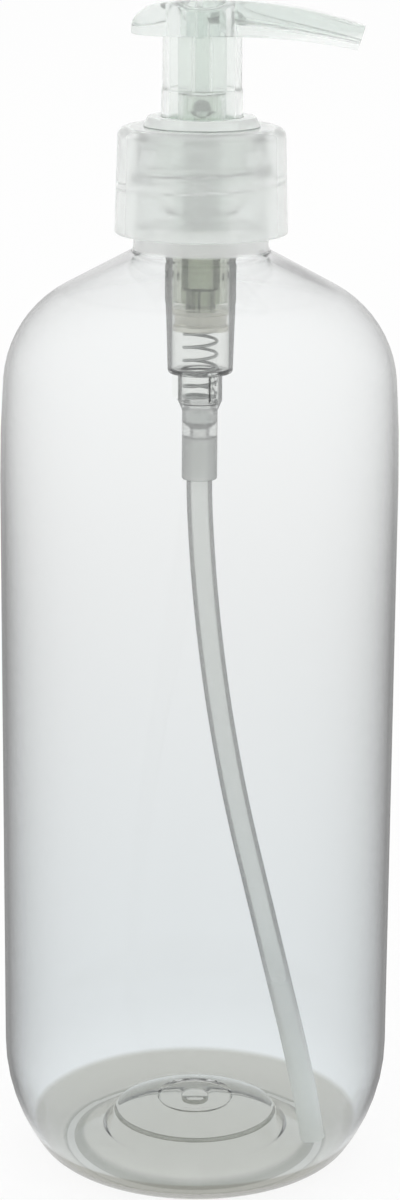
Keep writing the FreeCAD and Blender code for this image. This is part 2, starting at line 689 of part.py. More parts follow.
# Stem plug: flange for the spring, spigot inside its top coil, and a fluted shank
stem_plug = turned("stem_plug", [
    ("0", "places.plug_under - dims.spigot_length"),
    ("places.spigot_r - dims.clear_gap", "places.plug_under - dims.spigot_length"),
    ("places.spigot_r", "places.plug_under - dims.spigot_length + dims.clear_gap"),
    ("places.spigot_r", "places.plug_under"),
    ("places.plug_flange_r", "places.plug_under"),
    ("places.plug_flange_r", "places.plug_top"),
    ("places.shank_r", "places.plug_top"),
    ("places.shank_r", "places.shank_top"),
    ("0", "places.shank_top"),
])
flutes = new_sketch(stem_plug, "flute_outline", "XZ_Plane")
draw_path(flutes, [
    ("places.flute_core_r", "places.plug_top"),
    ("2 * places.shank_r", "places.plug_top"),
    ("2 * places.shank_r", "places.shank_top + dims.flute_width"),
    ("places.flute_core_r", "places.shank_top + dims.flute_width"),
], True)
flute = cut_pocket(stem_plug, "flute", flutes, "dims.flute_width")
polar(stem_plug, "flute_ring", flute, "dims.flute_count", 360)

# Piston: hub that slides on the stem, and a skirt with a lip at each end
piston = turned("piston", [
    ("places.hub_bore_r", "places.hub_under"),
    ("places.piston_inner_r", "places.hub_under"),
    ("places.piston_inner_r", "places.piston_foot"),
    ("places.piston_r", "places.piston_foot"),
    ("places.piston_r", "places.piston_foot + dims.piston_lip_length"),
    ("places.waist_r", "places.waist_foot"),
    ("places.waist_r", "places.waist_top"),
    ("places.piston_r", "places.piston_top - dims.piston_lip_length"),
    ("places.piston_r", "places.piston_top"),
    ("places.hub_bore_r", "places.piston_top"),
])


# Valve balls
def ball(label, diameter, height):
    """A ball on the axis, its centre at a height."""
    sphere = doc.addObject("Part::Sphere", label)
    sphere.Label = label
    sphere.setExpression("Radius", f"{diameter} / 2")
    sphere.setExpression("Placement.Base.z", height)
    return sphere


inlet_ball = ball("inlet_ball", "dims.inlet_ball_diameter", "places.inlet_ball_z")
outlet_ball = ball("outlet_ball", "dims.outlet_ball_diameter", "places.outlet_ball_z")

# Dip tube: straight in its socket, then a long bend to the foot of the bottle
dip_tube = new_body("dip_tube")
route = new_sketch(dip_tube, "tube_route", "XZ_Plane")
draw_path(route, [
    ("0", "places.socket_top"),
    ("0", "places.tail_foot"),
    ("places.tube_start_x", "places.tail_foot - places.tube_start_drop", "dims.tube_start_radius", 1),
    ("places.tube_bend_x", "places.tail_foot - places.tube_bend_drop", "places.tube_bend_radius", 1),
    ("places.tube_run_x", "places.tube_run_z"),
    ("places.tube_foot_x", "places.tube_foot_z", "dims.tube_return_radius", -1),
], False)
section = new_sketch(dip_tube, "tube_section", "XY_Plane")
section.setExpression("AttachmentOffset.Base.z", "places.socket_top")
draw_circle(section, "0", "0", "dims.tube_diameter")
draw_circle(section, "0", "0", "dims.tube_diameter - 2 * dims.tube_wall")
doc.recompute()
tube = dip_tube.newObject("PartDesign::AdditivePipe", "tube")
tube.Profile = section
tube.Spine = (route, [])
dip_tube.Placement.Rotation = Rotation(Vector(0, 0, 1), 1)
dip_tube.setExpression("Placement.Rotation.Angle", "dims.tube_heading")
doc.recompute()

# Actuator head: crowned side outline, trimmed to its plan, on a skirt and a boss for the stem
actuator_head = new_body("actuator_head")
side = new_sketch(actuator_head, "head_side", "XZ_Plane")
draw_path(side, [
    ("-dims.rear_reach - dims.clear_gap", "places.head_under"),
    ("dims.spout_under_start", "places.head_under"),
    ("places.tip_under_x", "places.tip_under", "dims.spout_under_radius", -1),
    ("dims.spout_reach", "places.tip_top"),
    ("places.crown_rear_x", "places.crown_rear", "dims.crown_radius", 1),
    ("-dims.rear_reach - dims.clear_gap", "places.rear_centre", "places.rear_corner_r", 1),
], True)
head = actuator_head.newObject("PartDesign::Pad", "head")
head.Profile = side
head.Midplane = True
head.setExpression("Length", "dims.head_width + 2 * dims.clear_gap")
doc.recompute()
plan = new_sketch(actuator_head, "head_plan", "XY_Plane")
draw_path(plan, [
    ("-2 * dims.rear_reach", "-dims.head_width"),
    ("2 * dims.spout_reach", "-dims.head_width"),
    ("2 * dims.spout_reach", "dims.head_width"),
    ("-2 * dims.rear_reach", "dims.head_width"),
], True)
draw_path(plan, [
    ("places.head_rear_x", "-places.head_half", "places.head_half", 1),
    ("dims.spout_under_start", "-places.head_half"),
    ("dims.spout_reach + dims.clear_gap", "-dims.spout_tip_width / 2"),
    ("dims.spout_reach + dims.clear_gap", "dims.spout_tip_width / 2"),
    ("dims.spout_under_start", "places.head_half"),
    ("places.head_rear_x", "places.head_half"),
    ("-dims.rear_reach", "0", "places.head_half", 1),
], True)
trimmed = cut_pocket(actuator_head, "head_trim", plan, "3 * places.crown")


def rim_edges(shape):
    """Names of the edges between the head's crown and its upright sides."""
    names = []
    for index, edge in enumerate(shape.Edges, 1):
        box = edge.BoundBox
        if box.XLength > dims.clear_gap and box.ZMin > places.tip_top - dims.clear_gap:
            names.append(f"Edge{index}")
    return names


rounded = actuator_head.newObject("PartDesign::Fillet", "head_edges")
rounded.Base = (trimmed, rim_edges(trimmed.Shape))
rounded.setExpression("Radius", "dims.head_edge_radius")
doc.recompute()
revolve(actuator_head, "skirt", [
    ("places.riser_r", "places.stem_top"),
    ("places.socket_r", "places.stem_top"),
    ("places.socket_r", "places.boss_foot"),
    ("places.boss_r", "places.boss_foot"),
    ("places.boss_r", "places.skirt_roof"),
    ("places.skirt_inner_r", "places.skirt_roof"),
    ("places.skirt_inner_r", "places.skirt_foot"),
    ("places.skirt_foot_r", "places.skirt_foot"),
    ("places.skirt_foot_r", "places.skirt_step"),
    ("places.skirt_r", "places.skirt_step + places.skirt_foot_r - places.skirt_r"),
    ("places.skirt_r", "places.head_under + dims.skirt_wall"),
    ("places.riser_r", "places.head_under + dims.skirt_wall"),
])
riser = new_sketch(actuator_head, "riser_outline", "XZ_Plane")
draw_path(riser, [
    ("0", "places.stem_top"),
    ("places.riser_r", "places.stem_top"),
    ("places.riser_r", "places.channel_z"),
    ("0", "places.channel_z"),
], True)
before_riser = actuator_head.Shape.Volume
riser_cut = actuator_head.newObject("PartDesign::Groove", "riser")
riser_cut.Profile = riser
riser_cut.ReferenceAxis = (riser, ["V_Axis"])
riser_cut.Angle = 360
doc.recompute()
assert actuator_head.Shape.Volume < before_riser
channel_route = new_sketch(actuator_head, "channel_route", "XZ_Plane")
draw_path(channel_route, [
    ("0", "places.channel_z"),
    ("places.channel_end_x", "places.channel_end_z", "dims.channel_radius", -1),
], False)
channel_section = new_sketch(actuator_head, "channel_section", "YZ_Plane")
draw_circle(channel_section, "0", "places.channel_z", "dims.channel_diameter")
doc.recompute()
before_channel = actuator_head.Shape.Volume
channel = actuator_head.newObject("PartDesign::SubtractivePipe", "channel")
channel.Profile = channel_section
channel.Spine = (channel_route, [])
doc.recompute()
assert actuator_head.Shape.Volume < before_channel


# Return spring: one round wire, wound closer at its two ends
QUARTER = math.pi / 2
END_QUARTERS = 4
ARCS_PER_TURN = 8
SPOTS_PER_ARC = 8


def spring_rises():
    """Height gained in each quarter turn, between the seat and the plug."""
    length = places.plug_under - places.spring_seat - dims.spring_wire - 2 * dims.seating_gap
    end_rise = dims.spring_end_pitch / 4
    middle = length - 2 * END_QUARTERS * end_rise
    count = round(middle / (dims.spring_pitch / 4))
    ends = [end_rise] * END_QUARTERS
    return ends + [middle / count] * count + ends


def spring_stations():
    """Points and tangents of the wire's centre line, a quarter turn apart."""
    radius = places.spring_r - dims.spring_wire / 2
    rises = spring_rises()
    height = places.spring_seat + dims.spring_wire / 2 + dims.seating_gap
    points = []
    tangents = []
    for step in range(len(rises) + 1):
        angle = step * QUARTER
        slope = (rises[max(step - 1, 0)] + rises[min(step, len(rises) - 1)]) / 2 / QUARTER
        points.append(Vector(radius * math.cos(angle), radius * math.sin(angle), height))
        tangents.append(Vector(-radius * math.sin(angle), radius * math.cos(angle), slope).normalize())
        if step < len(rises):
            height += rises[step]
    return points, tangents


def arc_from(start, tangent, finish):
    """The arc that leaves start along tangent and ends at finish."""
    chord = finish - start
    inward = (chord - tangent * chord.dot(tangent)).normalize()
    radius = chord.Length ** 2 / (2 * chord.dot(inward))
    centre = start + inward * radius
    middle = centre + ((start + finish) * 0.5 - centre).normalize() * radius
    return Part.Arc(start, middle, finish)


def biarc(start, leaving, finish, arriving):
    """Two arcs that meet smoothly between two points with set tangents."""
    chord = finish - start
    square = 2 * (1 - leaving.dot(arriving))
    linear = 2 * chord.dot(leaving + arriving)
    reach = (math.sqrt(linear ** 2 + 4 * square * chord.dot(chord)) - linear) / (2 * square)
    meeting = (start + finish + (leaving - arriving) * reach) * 0.5
    first = arc_from(start, leaving, meeting)
    bend = (meeting - start).normalize()
    through = bend * (2 * bend.dot(leaving)) - leaving
    return [first, arc_from(meeting, through, finish)]


def least_gap(edges, wire):
    """The least gap of the wound wire to itself, on points along it."""
    spots = [spot for edge in edges for spot in edge.discretize(SPOTS_PER_ARC + 1)[:-1]]
    half_turn = ARCS_PER_TURN * SPOTS_PER_ARC // 2
    return min((spots[far] - spots[near]).Length
               for near in range(len(spots))
               for far in range(near + half_turn, len(spots))) - wire


points, tangents = spring_stations()
arcs = []
for index in range(len(points) - 1):
    arcs += biarc(points[index], tangents[index], points[index + 1], tangents[index + 1])
wire_line = Part.Wire([arc.toShape() for arc in arcs])
wire_section = Part.Wire([Part.Circle(points[0], tangents[0], dims.spring_wire / 2).toShape()])
return_spring = doc.addObject("Part::Feature", "return_spring")
return_spring.Label = "return_spring"
return_spring.Shape = wire_line.makePipeShell([wire_section], True, False)
return_spring.Placement = FreeCAD.Placement()
print(f"return_spring: least gap to itself {least_gap(wire_line.Edges, dims.spring_wire):.3f} mm")
doc.recompute()

# Checks and files
for item in doc.Objects:
    assert not {"Invalid", "Error"} & set(item.State), f"{item.Name}: {item.State}"
pieces = [bottle, collar, gasket, chaplet, housing, stem, stem_plug, piston, inlet_ball, outlet_ball,
          dip_tube, actuator_head, return_spring]
for piece in pieces:
    assert not piece.Shape.isNull() and piece.Shape.isValid(), piece.Label
    assert len(piece.Shape.Solids) == 1, piece.Label
os.makedirs("parts", exist_ok=True)
for piece in pieces:
    piece.Shape.exportStep(f"parts/{piece.Label}.step")
    box = piece.Shape.BoundBox
    print(f"{piece.Label}: {piece.Shape.Volume:.1f} mm3, z {box.ZMin:.2f} to {box.ZMax:.2f}")
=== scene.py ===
import json
import math

import bpy
from mathutils import Matrix, Vector


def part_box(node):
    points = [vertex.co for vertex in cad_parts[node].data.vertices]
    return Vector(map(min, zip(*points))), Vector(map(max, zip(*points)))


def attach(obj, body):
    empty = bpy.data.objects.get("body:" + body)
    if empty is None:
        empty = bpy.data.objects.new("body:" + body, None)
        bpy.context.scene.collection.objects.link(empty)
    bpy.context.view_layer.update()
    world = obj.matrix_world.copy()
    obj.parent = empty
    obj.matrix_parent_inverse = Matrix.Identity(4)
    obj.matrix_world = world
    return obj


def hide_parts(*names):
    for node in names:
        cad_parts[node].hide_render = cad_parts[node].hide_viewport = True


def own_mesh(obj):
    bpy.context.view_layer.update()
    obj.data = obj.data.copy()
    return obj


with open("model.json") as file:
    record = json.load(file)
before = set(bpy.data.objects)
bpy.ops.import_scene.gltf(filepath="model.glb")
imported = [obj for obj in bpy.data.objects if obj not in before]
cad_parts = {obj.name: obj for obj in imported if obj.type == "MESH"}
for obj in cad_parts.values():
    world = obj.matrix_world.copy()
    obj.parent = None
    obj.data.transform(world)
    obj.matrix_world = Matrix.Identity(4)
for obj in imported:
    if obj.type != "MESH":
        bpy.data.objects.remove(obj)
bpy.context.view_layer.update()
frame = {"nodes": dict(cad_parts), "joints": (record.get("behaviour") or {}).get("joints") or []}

MM = 0.001
FULL_TURN = 2 * math.pi

# Corners of every piece, from the frame
low = {}
high = {}
for node_name in frame["nodes"]:
    low[node_name], high[node_name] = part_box(node_name)


# Drawing with edges, turned walls and joined blocks
STEPS_ROUND = 160
TUBE_SIDES = 48
WELD = 0.001 * MM
EDGE_EASE = 0.2 * MM
EASE_STEPS = 4
EASE_ROOM = 0.45
ARC_STEP = math.radians(6)
SMOOTH_ANGLE = math.radians(32)


def arc(centre, radius, start, finish, step=ARC_STEP):
    """Points of an arc about centre, from one angle to another in degrees, as corners left sharp."""
    first, last = math.radians(start), math.radians(finish)
    count = max(2, math.ceil(abs(last - first) / step))
    angles = [first + (last - first) * index / count for index in range(count + 1)]
    return [(centre[0] + radius * math.cos(a), centre[1] + radius * math.sin(a), 0) for a in angles]


def rows(radius, start, finish, spacing):
    """Points up a straight wall, close enough together to be reshaped later."""
    count = math.ceil(abs(finish - start) / spacing)
    return [(radius, start + (finish - start) * index / count, 0) for index in range(count + 1)]


def eased(before, corner, after, ease):
    """Points that round one corner of an outline."""
    back, ahead = before - corner, after - corner
    room = EASE_ROOM * min(back.length, ahead.length)
    reach = min(ease / math.tan(back.angle(ahead) / 2), room) if ease else 0
    if reach < WELD:
        return [corner]
    start, finish = corner + back.normalized() * reach, corner + ahead.normalized() * reach
    points = []
    for index in range(EASE_STEPS + 1):
        share = index / EASE_STEPS
        points.append(start * (1 - share) ** 2 + corner * 2 * share * (1 - share) + finish * share ** 2)
    return points


def outline(corners, closed=True):
    """Points through corners of (across, up), or (across, up, ease) where the rounding is its own."""
    spots = [Vector(corner[:2]) for corner in corners]
    points = []
    for index, corner in enumerate(corners):
        ease = corner[2] if len(corner) > 2 else EDGE_EASE
        if not closed and index in (0, len(corners) - 1):
            points.append(spots[index])
        else:
            points += eased(spots[index - 1], spots[index], spots[(index + 1) % len(spots)], ease)
    return points + points[:1] if closed else points


def only(piece):
    """Leaves one piece selected and active."""
    bpy.ops.object.select_all(action="DESELECT")
    piece.select_set(True)
    bpy.context.view_layer.objects.active = piece


def trace(name, spots):
    """A string of edges through spots, extruded point by point, left open in edit mode."""
    bpy.ops.object.select_all(action="DESELECT")
    bpy.ops.mesh.primitive_plane_add(size=MM, location=spots[0])
    piece = bpy.context.object
    piece.name = name
    piece.data.name = name
    bpy.ops.object.transform_apply(location=True, rotation=False, scale=False)
    bpy.ops.object.mode_set(mode="EDIT")
    bpy.ops.mesh.select_mode(type="VERT")
    bpy.ops.mesh.merge(type="CENTER")
    for start, finish in zip(spots, spots[1:]):
        bpy.ops.mesh.extrude_region_move(TRANSFORM_OT_translate={"value": finish - start})
    bpy.ops.mesh.select_all(action="SELECT")
    return piece


def close_up(piece):
    """Welds doubled points, turns the faces outwards and leaves edit mode."""
    bpy.ops.mesh.select_all(action="SELECT")
    bpy.ops.mesh.remove_doubles(threshold=WELD)
    bpy.ops.mesh.normals_make_consistent(inside=False)
    bpy.ops.object.mode_set(mode="OBJECT")
    return piece


def turned(name, corners, closed=True):
    """A wall turned about the axis from an outline of (radius, height) corners."""
    piece = trace(name, [Vector((spot.x, 0, spot.y)) for spot in outline(corners, closed)])
    bpy.ops.mesh.spin(steps=STEPS_ROUND, angle=FULL_TURN, center=(0, 0, 0), axis=(0, 0, 1))
    return close_up(piece)


def block(name, spots, thickness):
    """A solid between a closed outline of points and the same outline moved by thickness."""
    piece = trace(name, spots)
    bpy.ops.mesh.remove_doubles(threshold=WELD)
    bpy.ops.mesh.edge_face_add()
    bpy.ops.mesh.extrude_region_move(TRANSFORM_OT_translate={"value": thickness})
    return close_up(piece)


def combine(piece, tool, way):
    """Joins a tool to a piece, cuts it out, or keeps what both share."""
    modifier = piece.modifiers.new(way.lower(), "BOOLEAN")
    modifier.operation = way
    modifier.solver = "EXACT"
    modifier.object = tool
    only(piece)
    bpy.ops.object.modifier_apply(modifier=modifier.name)
    bpy.data.objects.remove(tool)


def smooth(piece, angle=SMOOTH_ANGLE):
    """Shades a piece smooth, apart from the edges that turn by more than angle."""
    only(piece)
    bpy.ops.object.shade_smooth_by_angle(angle=angle)


# Screw thread, wound on a wall that has close rows
PITCH = 3.175 * MM
THREAD_FOOT = 1.4 * MM
THREAD_TIP = 0.8 * MM
THREAD_ROW = 0.14 * MM
RUN_IN = 0.06
NECK_TURNS = 1.5
COLLAR_TURNS = 1.25


def clamp(share):
    """A share kept between 0 and 1."""
    return min(max(share, 0), 1)


def wind_thread(piece, wall_r, height, start, turns):
    """Raises a right-hand thread on a wall, by a height that is negative towards the axis."""
    flank = (THREAD_FOOT - THREAD_TIP) / 2
    for vertex in piece.data.vertices:
        radius = vertex.co.xy.length
        if abs(radius - wall_r) > WELD:
            continue
        turn = math.atan2(vertex.co.y, vertex.co.x) / FULL_TURN % 1
        lift = 0
        for lap in range(math.ceil(turns)):
            along = turn + lap
            off = abs(vertex.co.z - start - along * PITCH)
            run_in = clamp(min(along, turns - along) / RUN_IN)
            share = clamp((THREAD_FOOT / 2 - off) / flank) * run_in
            lift = max(lift, share * share * (3 - 2 * share))
        vertex.co.xy *= (radius + height * lift) / radius


# Bottle, with its angles in degrees
BODY_R = high["bottle"].x
RIM = high["bottle"].z
WALL = 0.8 * MM
HEEL_TOP = 20.5 * MM
HEEL_SWEEP = 31.4 * MM
HEEL_CORNER = 6.3 * MM
HEEL_TILT = math.degrees(math.asin((HEEL_TOP - HEEL_CORNER) / (HEEL_SWEEP - HEEL_CORNER)))
STAND_R = BODY_R - HEEL_SWEEP + (HEEL_SWEEP - HEEL_CORNER) * math.cos(math.radians(HEEL_TILT))
SHOULDER_SWEEP = 230 * MM
SWEEP_ANGLE = 4.35
SHOULDER_R = 19.1 * MM
SHOULDER_SLOPE = 28.3
NECK_BASE = RIM - 17.4 * MM
NECK_R = 11.4 * MM
NECK_BORE_R = 9.4 * MM
NECK_LAND = 4.2 * MM
THREAD_ROOT_R = 10.85 * MM
THREAD_HEIGHT = 1.1 * MM
THREAD_LEAD = 2.04 * MM
NECK_THREAD = RIM - THREAD_LEAD - NECK_TURNS * PITCH


def bottle_side(inset):
    """The wall from its standing ring to the shoulder's cone, moved inwards by inset."""
    side = arc((STAND_R, HEEL_CORNER), HEEL_CORNER - inset, -90, -HEEL_TILT)
    side += arc((BODY_R - HEEL_SWEEP, HEEL_TOP), HEEL_SWEEP - inset, -HEEL_TILT, 0)
    lean, fall = math.radians(SWEEP_ANGLE), math.radians(SHOULDER_SLOPE)
    sweep_end_r = BODY_R - SHOULDER_SWEEP * (1 - math.cos(lean))
    cone_foot_r = sweep_end_r - SHOULDER_R * (math.cos(lean) - math.sin(fall))
    cone_foot = NECK_BASE - (cone_foot_r - NECK_R) * math.tan(fall)
    sweep_end = cone_foot - SHOULDER_R * (math.cos(fall) - math.sin(lean))
    wall_top = sweep_end - SHOULDER_SWEEP * math.sin(lean)
    side += arc((BODY_R - SHOULDER_SWEEP, wall_top), SHOULDER_SWEEP - inset, 0, SWEEP_ANGLE)
    crown = (sweep_end_r - SHOULDER_R * math.cos(lean), sweep_end - SHOULDER_R * math.sin(lean))
    return side + arc(crown, SHOULDER_R - inset, SWEEP_ANGLE, 90 - SHOULDER_SLOPE)


def dome_skin(centre, radius, start_r, finish_r):
    """Points of the base's dome between two distances from the axis."""
    first, last = (90 - math.degrees(math.asin(across / radius)) for across in (start_r, finish_r))
    return arc(centre, radius, first, last, ARC_STEP / 2)


def bottle_shell():
    """Pushed-up base, swept heel, straight wall, shoulder and screw neck, one skin outside and in."""
    base_wall, gate_r, gate_height = 1.1 * MM, 2.4 * MM, 0.8 * MM
    stand_inner_r, stand_ease = STAND_R - 1.6 * MM, 0.6 * MM
    step_foot_r, step_foot, foot_ease = stand_inner_r - 5.5 * MM, 2.4 * MM, 1.2 * MM
    step_top_r, step_top, top_ease = step_foot_r - 2 * MM, step_foot + 3.2 * MM, 1.6 * MM
    dome_edge_r, rise = step_top_r - top_ease, 3 * MM
    dome_r = (step_top_r ** 2 + rise ** 2) / (2 * rise)
    dome = step_top + rise - dome_r
    recess_r, recess_edge_r, recess = 6.3 * MM, 6.6 * MM, 0.5 * MM
    gate_root = dome - recess + math.sqrt(dome_r ** 2 - gate_r ** 2)
    slope = math.radians(SHOULDER_SLOPE)
    bore_foot = NECK_BASE + (NECK_R - NECK_BORE_R) * math.tan(slope) - WALL / math.cos(slope)
    bore_thickening, bore_ease = 0.9 * MM, 4 * MM
    root_foot = NECK_BASE + NECK_LAND + NECK_R - THREAD_ROOT_R
    neck_ease, rim_ease = 1.5 * MM, 0.4 * MM
    corners = [(0, gate_root - gate_height), (gate_r, gate_root - gate_height)]
    corners += dome_skin((0, dome - recess), dome_r, gate_r, recess_r)
    corners += dome_skin((0, dome), dome_r, recess_edge_r, dome_edge_r)
    corners += [(step_top_r, step_top, top_ease)]
    corners += [(step_foot_r, step_foot, foot_ease), (stand_inner_r, 0, stand_ease)]
    corners += bottle_side(0)
    corners += [(NECK_R, NECK_BASE, neck_ease), (NECK_R, NECK_BASE + NECK_LAND)]
    corners += rows(THREAD_ROOT_R, root_foot, RIM - rim_ease, THREAD_ROW)
    corners += [(THREAD_ROOT_R, RIM, rim_ease), (NECK_BORE_R, RIM, rim_ease)]
    corners += [(NECK_BORE_R, bore_foot - bore_thickening, bore_ease)]
    corners += reversed(bottle_side(WALL))
    corners += [(stand_inner_r, base_wall, foot_ease), (step_foot_r, step_foot + base_wall, foot_ease)]
    corners += [(step_top_r, step_top + base_wall, top_ease)]
    corners += dome_skin((0, dome + base_wall), dome_r, dome_edge_r, recess_edge_r)
    corners += dome_skin((0, dome + base_wall - recess), dome_r, recess_r, 0)
    piece = turned("bottle_shell", corners, closed=False)
    wind_thread(piece, THREAD_ROOT_R, THREAD_HEIGHT, NECK_THREAD, NECK_TURNS)
    smooth(piece)
    return piece


# Collar
COLLAR_FOOT = low["collar"].z
COLLAR_TOP = high["collar"].z
COLLAR_BORE_R = 12.15 * MM


def screw_collar():
    """Smooth closure with a drafted side and a thread inside."""
    foot, top = COLLAR_FOOT, COLLAR_TOP
    foot_r = high["collar"].x
    top_r, corner_r = foot_r - 0.5 * MM, 1.7 * MM
    hole_r, ceiling = 8.07 * MM, top - 1.1 * MM
    ceiling_ease, foot_ease = 0.4 * MM, 0.3 * MM
    rows_top, rows_foot = ceiling - MM, foot + 0.4 * MM
    corners = [(hole_r, ceiling), (COLLAR_BORE_R, ceiling, ceiling_ease)]
    corners += rows(COLLAR_BORE_R, rows_top, rows_foot, THREAD_ROW)
    corners += [(COLLAR_BORE_R, foot), (foot_r, foot, foot_ease)]
    corners += arc((top_r - corner_r, top - corner_r), corner_r, 0, 90)
    corners += [(hole_r, top)]
    piece = turned("screw_collar", corners)
    thread_gap = 0.2 * MM
    tip_r = THREAD_ROOT_R + thread_gap
    wind_thread(piece, COLLAR_BORE_R, tip_r - COLLAR_BORE_R, NECK_THREAD - PITCH / 2, COLLAR_TURNS)
    smooth(piece)
    return piece


# Chaplet
STEM_R = 3.2 * MM
GUIDE_R = 4.56 * MM
CUP_BORE_R = 6.87 * MM
SLEEVE_R = 7.87 * MM


def chaplet_ring():
    """Ring on the collar, cup for the head's skirt, and the long guide round the stem."""
    guide_foot, ring_top = low["chaplet"].z, high["chaplet"].z
    guide_bore_r = STEM_R + 0.06 * MM
    ring_r, ring_under = high["chaplet"].x, ring_top - 1.55 * MM
    ring_slope = 0.8 * MM
    cup_floor = ring_top - 8.85 * MM
    under = cup_floor - 0.8 * MM
    snap, snap_ease = 0.2 * MM, 0.1 * MM
    snap_r, snap_foot, snap_top = SLEEVE_R + snap, under + MM, under + 1.8 * MM
    piece = turned("chaplet_ring", [
        (guide_bore_r, guide_foot),
        (GUIDE_R, guide_foot),
        (GUIDE_R, under, 0.4 * MM),
        (SLEEVE_R, under),
        (SLEEVE_R, snap_foot, 0),
        (snap_r, snap_foot + snap, snap_ease),
        (snap_r, snap_top - snap, snap_ease),
        (SLEEVE_R, snap_top, 0),
        (SLEEVE_R, ring_under),
        (ring_r, ring_under, 0.05 * MM),
        (ring_r - ring_slope, ring_top, 0.35 * MM),
        (CUP_BORE_R, ring_top),
        (CUP_BORE_R, cup_floor, 0.4 * MM),
        (guide_bore_r, cup_floor),
    ])
    smooth(piece)
    return piece


# Housing
CYLINDER_R = 5.95 * MM
CYLINDER_BORE_R = 4.85 * MM
CYLINDER_END = high["housing"].z - 40.3 * MM
STAGE_R = 3.75 * MM
RIBS = 3


def pump_housing():
    """Flange, wide cup, cylinder, ribbed spring chamber, valve cage and tail."""
    tail_foot, flange_top = low["housing"].z, high["housing"].z
    flange_r, flange_under = high["housing"].x, flange_top - MM
    cup_bore_r, cup_r, cup_foot = 7.9 * MM, 8.95 * MM, flange_top - 10 * MM
    cone_ease = 1.2 * MM
    cylinder_top = cup_foot - 2.6 * MM
    cylinder_step = CYLINDER_END + 12.3 * MM
    taper_r, foot_r = CYLINDER_R - 0.1 * MM, CYLINDER_R - 0.45 * MM
    cylinder_floor = CYLINDER_END + 0.8 * MM
    stage_bore_r, stage_foot = 3.2 * MM, CYLINDER_END - 4.8 * MM
    spring_seat = stage_foot - 0.3 * MM
    lip_r, lip_under = 1.8 * MM, spring_seat - 0.8 * MM
    cage_r, inlet_r = 2.25 * MM, 1.1 * MM
    ball_r, ball_gap = 2 * MM, 0.03 * MM
    seat_tip = low["inlet_ball"].z + ball_r - math.sqrt(2) * ball_r - ball_gap
    socket_r, socket_top = 2.23 * MM, high["dip_tube"].z
    tail_r, tail_top = 3.025 * MM, stage_foot - 1.75 * MM
    piece = turned("pump_housing", [
        (inlet_r, socket_top),
        (socket_r, socket_top),
        (socket_r, tail_foot),
        (tail_r, tail_foot, 0.5 * MM),
        (tail_r, tail_top, 0.6 * MM),
        (STAGE_R, stage_foot, 0.5 * MM),
        (STAGE_R, CYLINDER_END, 0.25 * MM),
        (foot_r, CYLINDER_END, 0.7 * MM),
        (taper_r, cylinder_step),
        (CYLINDER_R, cylinder_step, 0.08 * MM),
        (CYLINDER_R, cylinder_top, cone_ease),
        (cup_r, cup_foot, cone_ease),
        (cup_r, flange_under, 0.4 * MM),
        (flange_r, flange_under),
        (flange_r, flange_top),
        (cup_bore_r, flange_top),
        (cup_bore_r, cup_foot, cone_ease),
        (CYLINDER_BORE_R, cylinder_top, cone_ease),
        (CYLINDER_BORE_R, cylinder_floor, 0.4 * MM),
        (stage_bore_r, cylinder_floor, 0.3 * MM),
        (stage_bore_r, spring_seat, 0.2 * MM),
        (lip_r, spring_seat),
        (lip_r, lip_under),
        (cage_r, lip_under),
        (cage_r, seat_tip + cage_r),
        (inlet_r, seat_tip + inlet_r),
    ])
    rib_reach, rib_half, rib_bite = MM, 0.45 * MM, 0.2 * MM
    inner, outer = -stage_bore_r - rib_bite, -STAGE_R - rib_reach
    for count in range(RIBS):
        rib = block("rib", [Vector((across, -rib_half, up)) for across, up in (
            (inner, stage_foot),
            (-STAGE_R, stage_foot),
            (outer, stage_foot + rib_reach),
            (outer, CYLINDER_END + rib_bite),
            (inner, CYLINDER_END + rib_bite),
            (inner, stage_foot),
        )], Vector((0, 2 * rib_half, 0)))
        rib.data.transform(Matrix.Rotation(FULL_TURN * count / RIBS, 4, "Z"))
        combine(piece, rib, "UNION")
    vent_r, vent_height = 0.6 * MM, high["piston"].z + 5.25 * MM
    bpy.ops.object.select_all(action="DESELECT")
    bpy.ops.mesh.primitive_cylinder_add(vertices=TUBE_SIDES, radius=vent_r, depth=4 * CYLINDER_R,
                                        location=(0, 0, vent_height), rotation=(0, math.pi / 2, 0))
    combine(piece, bpy.context.object, "DIFFERENCE")
    smooth(piece)
    return piece


# Dip tube
TUBE_R = 2.2 * MM
TUBE_BORE_R = 1.5 * MM
TUBE_HEADING = math.radians(-16)
BEND_STEP = math.radians(0.6)
LEAST_BEND_STEPS = 6
RUN_STEPS = 4


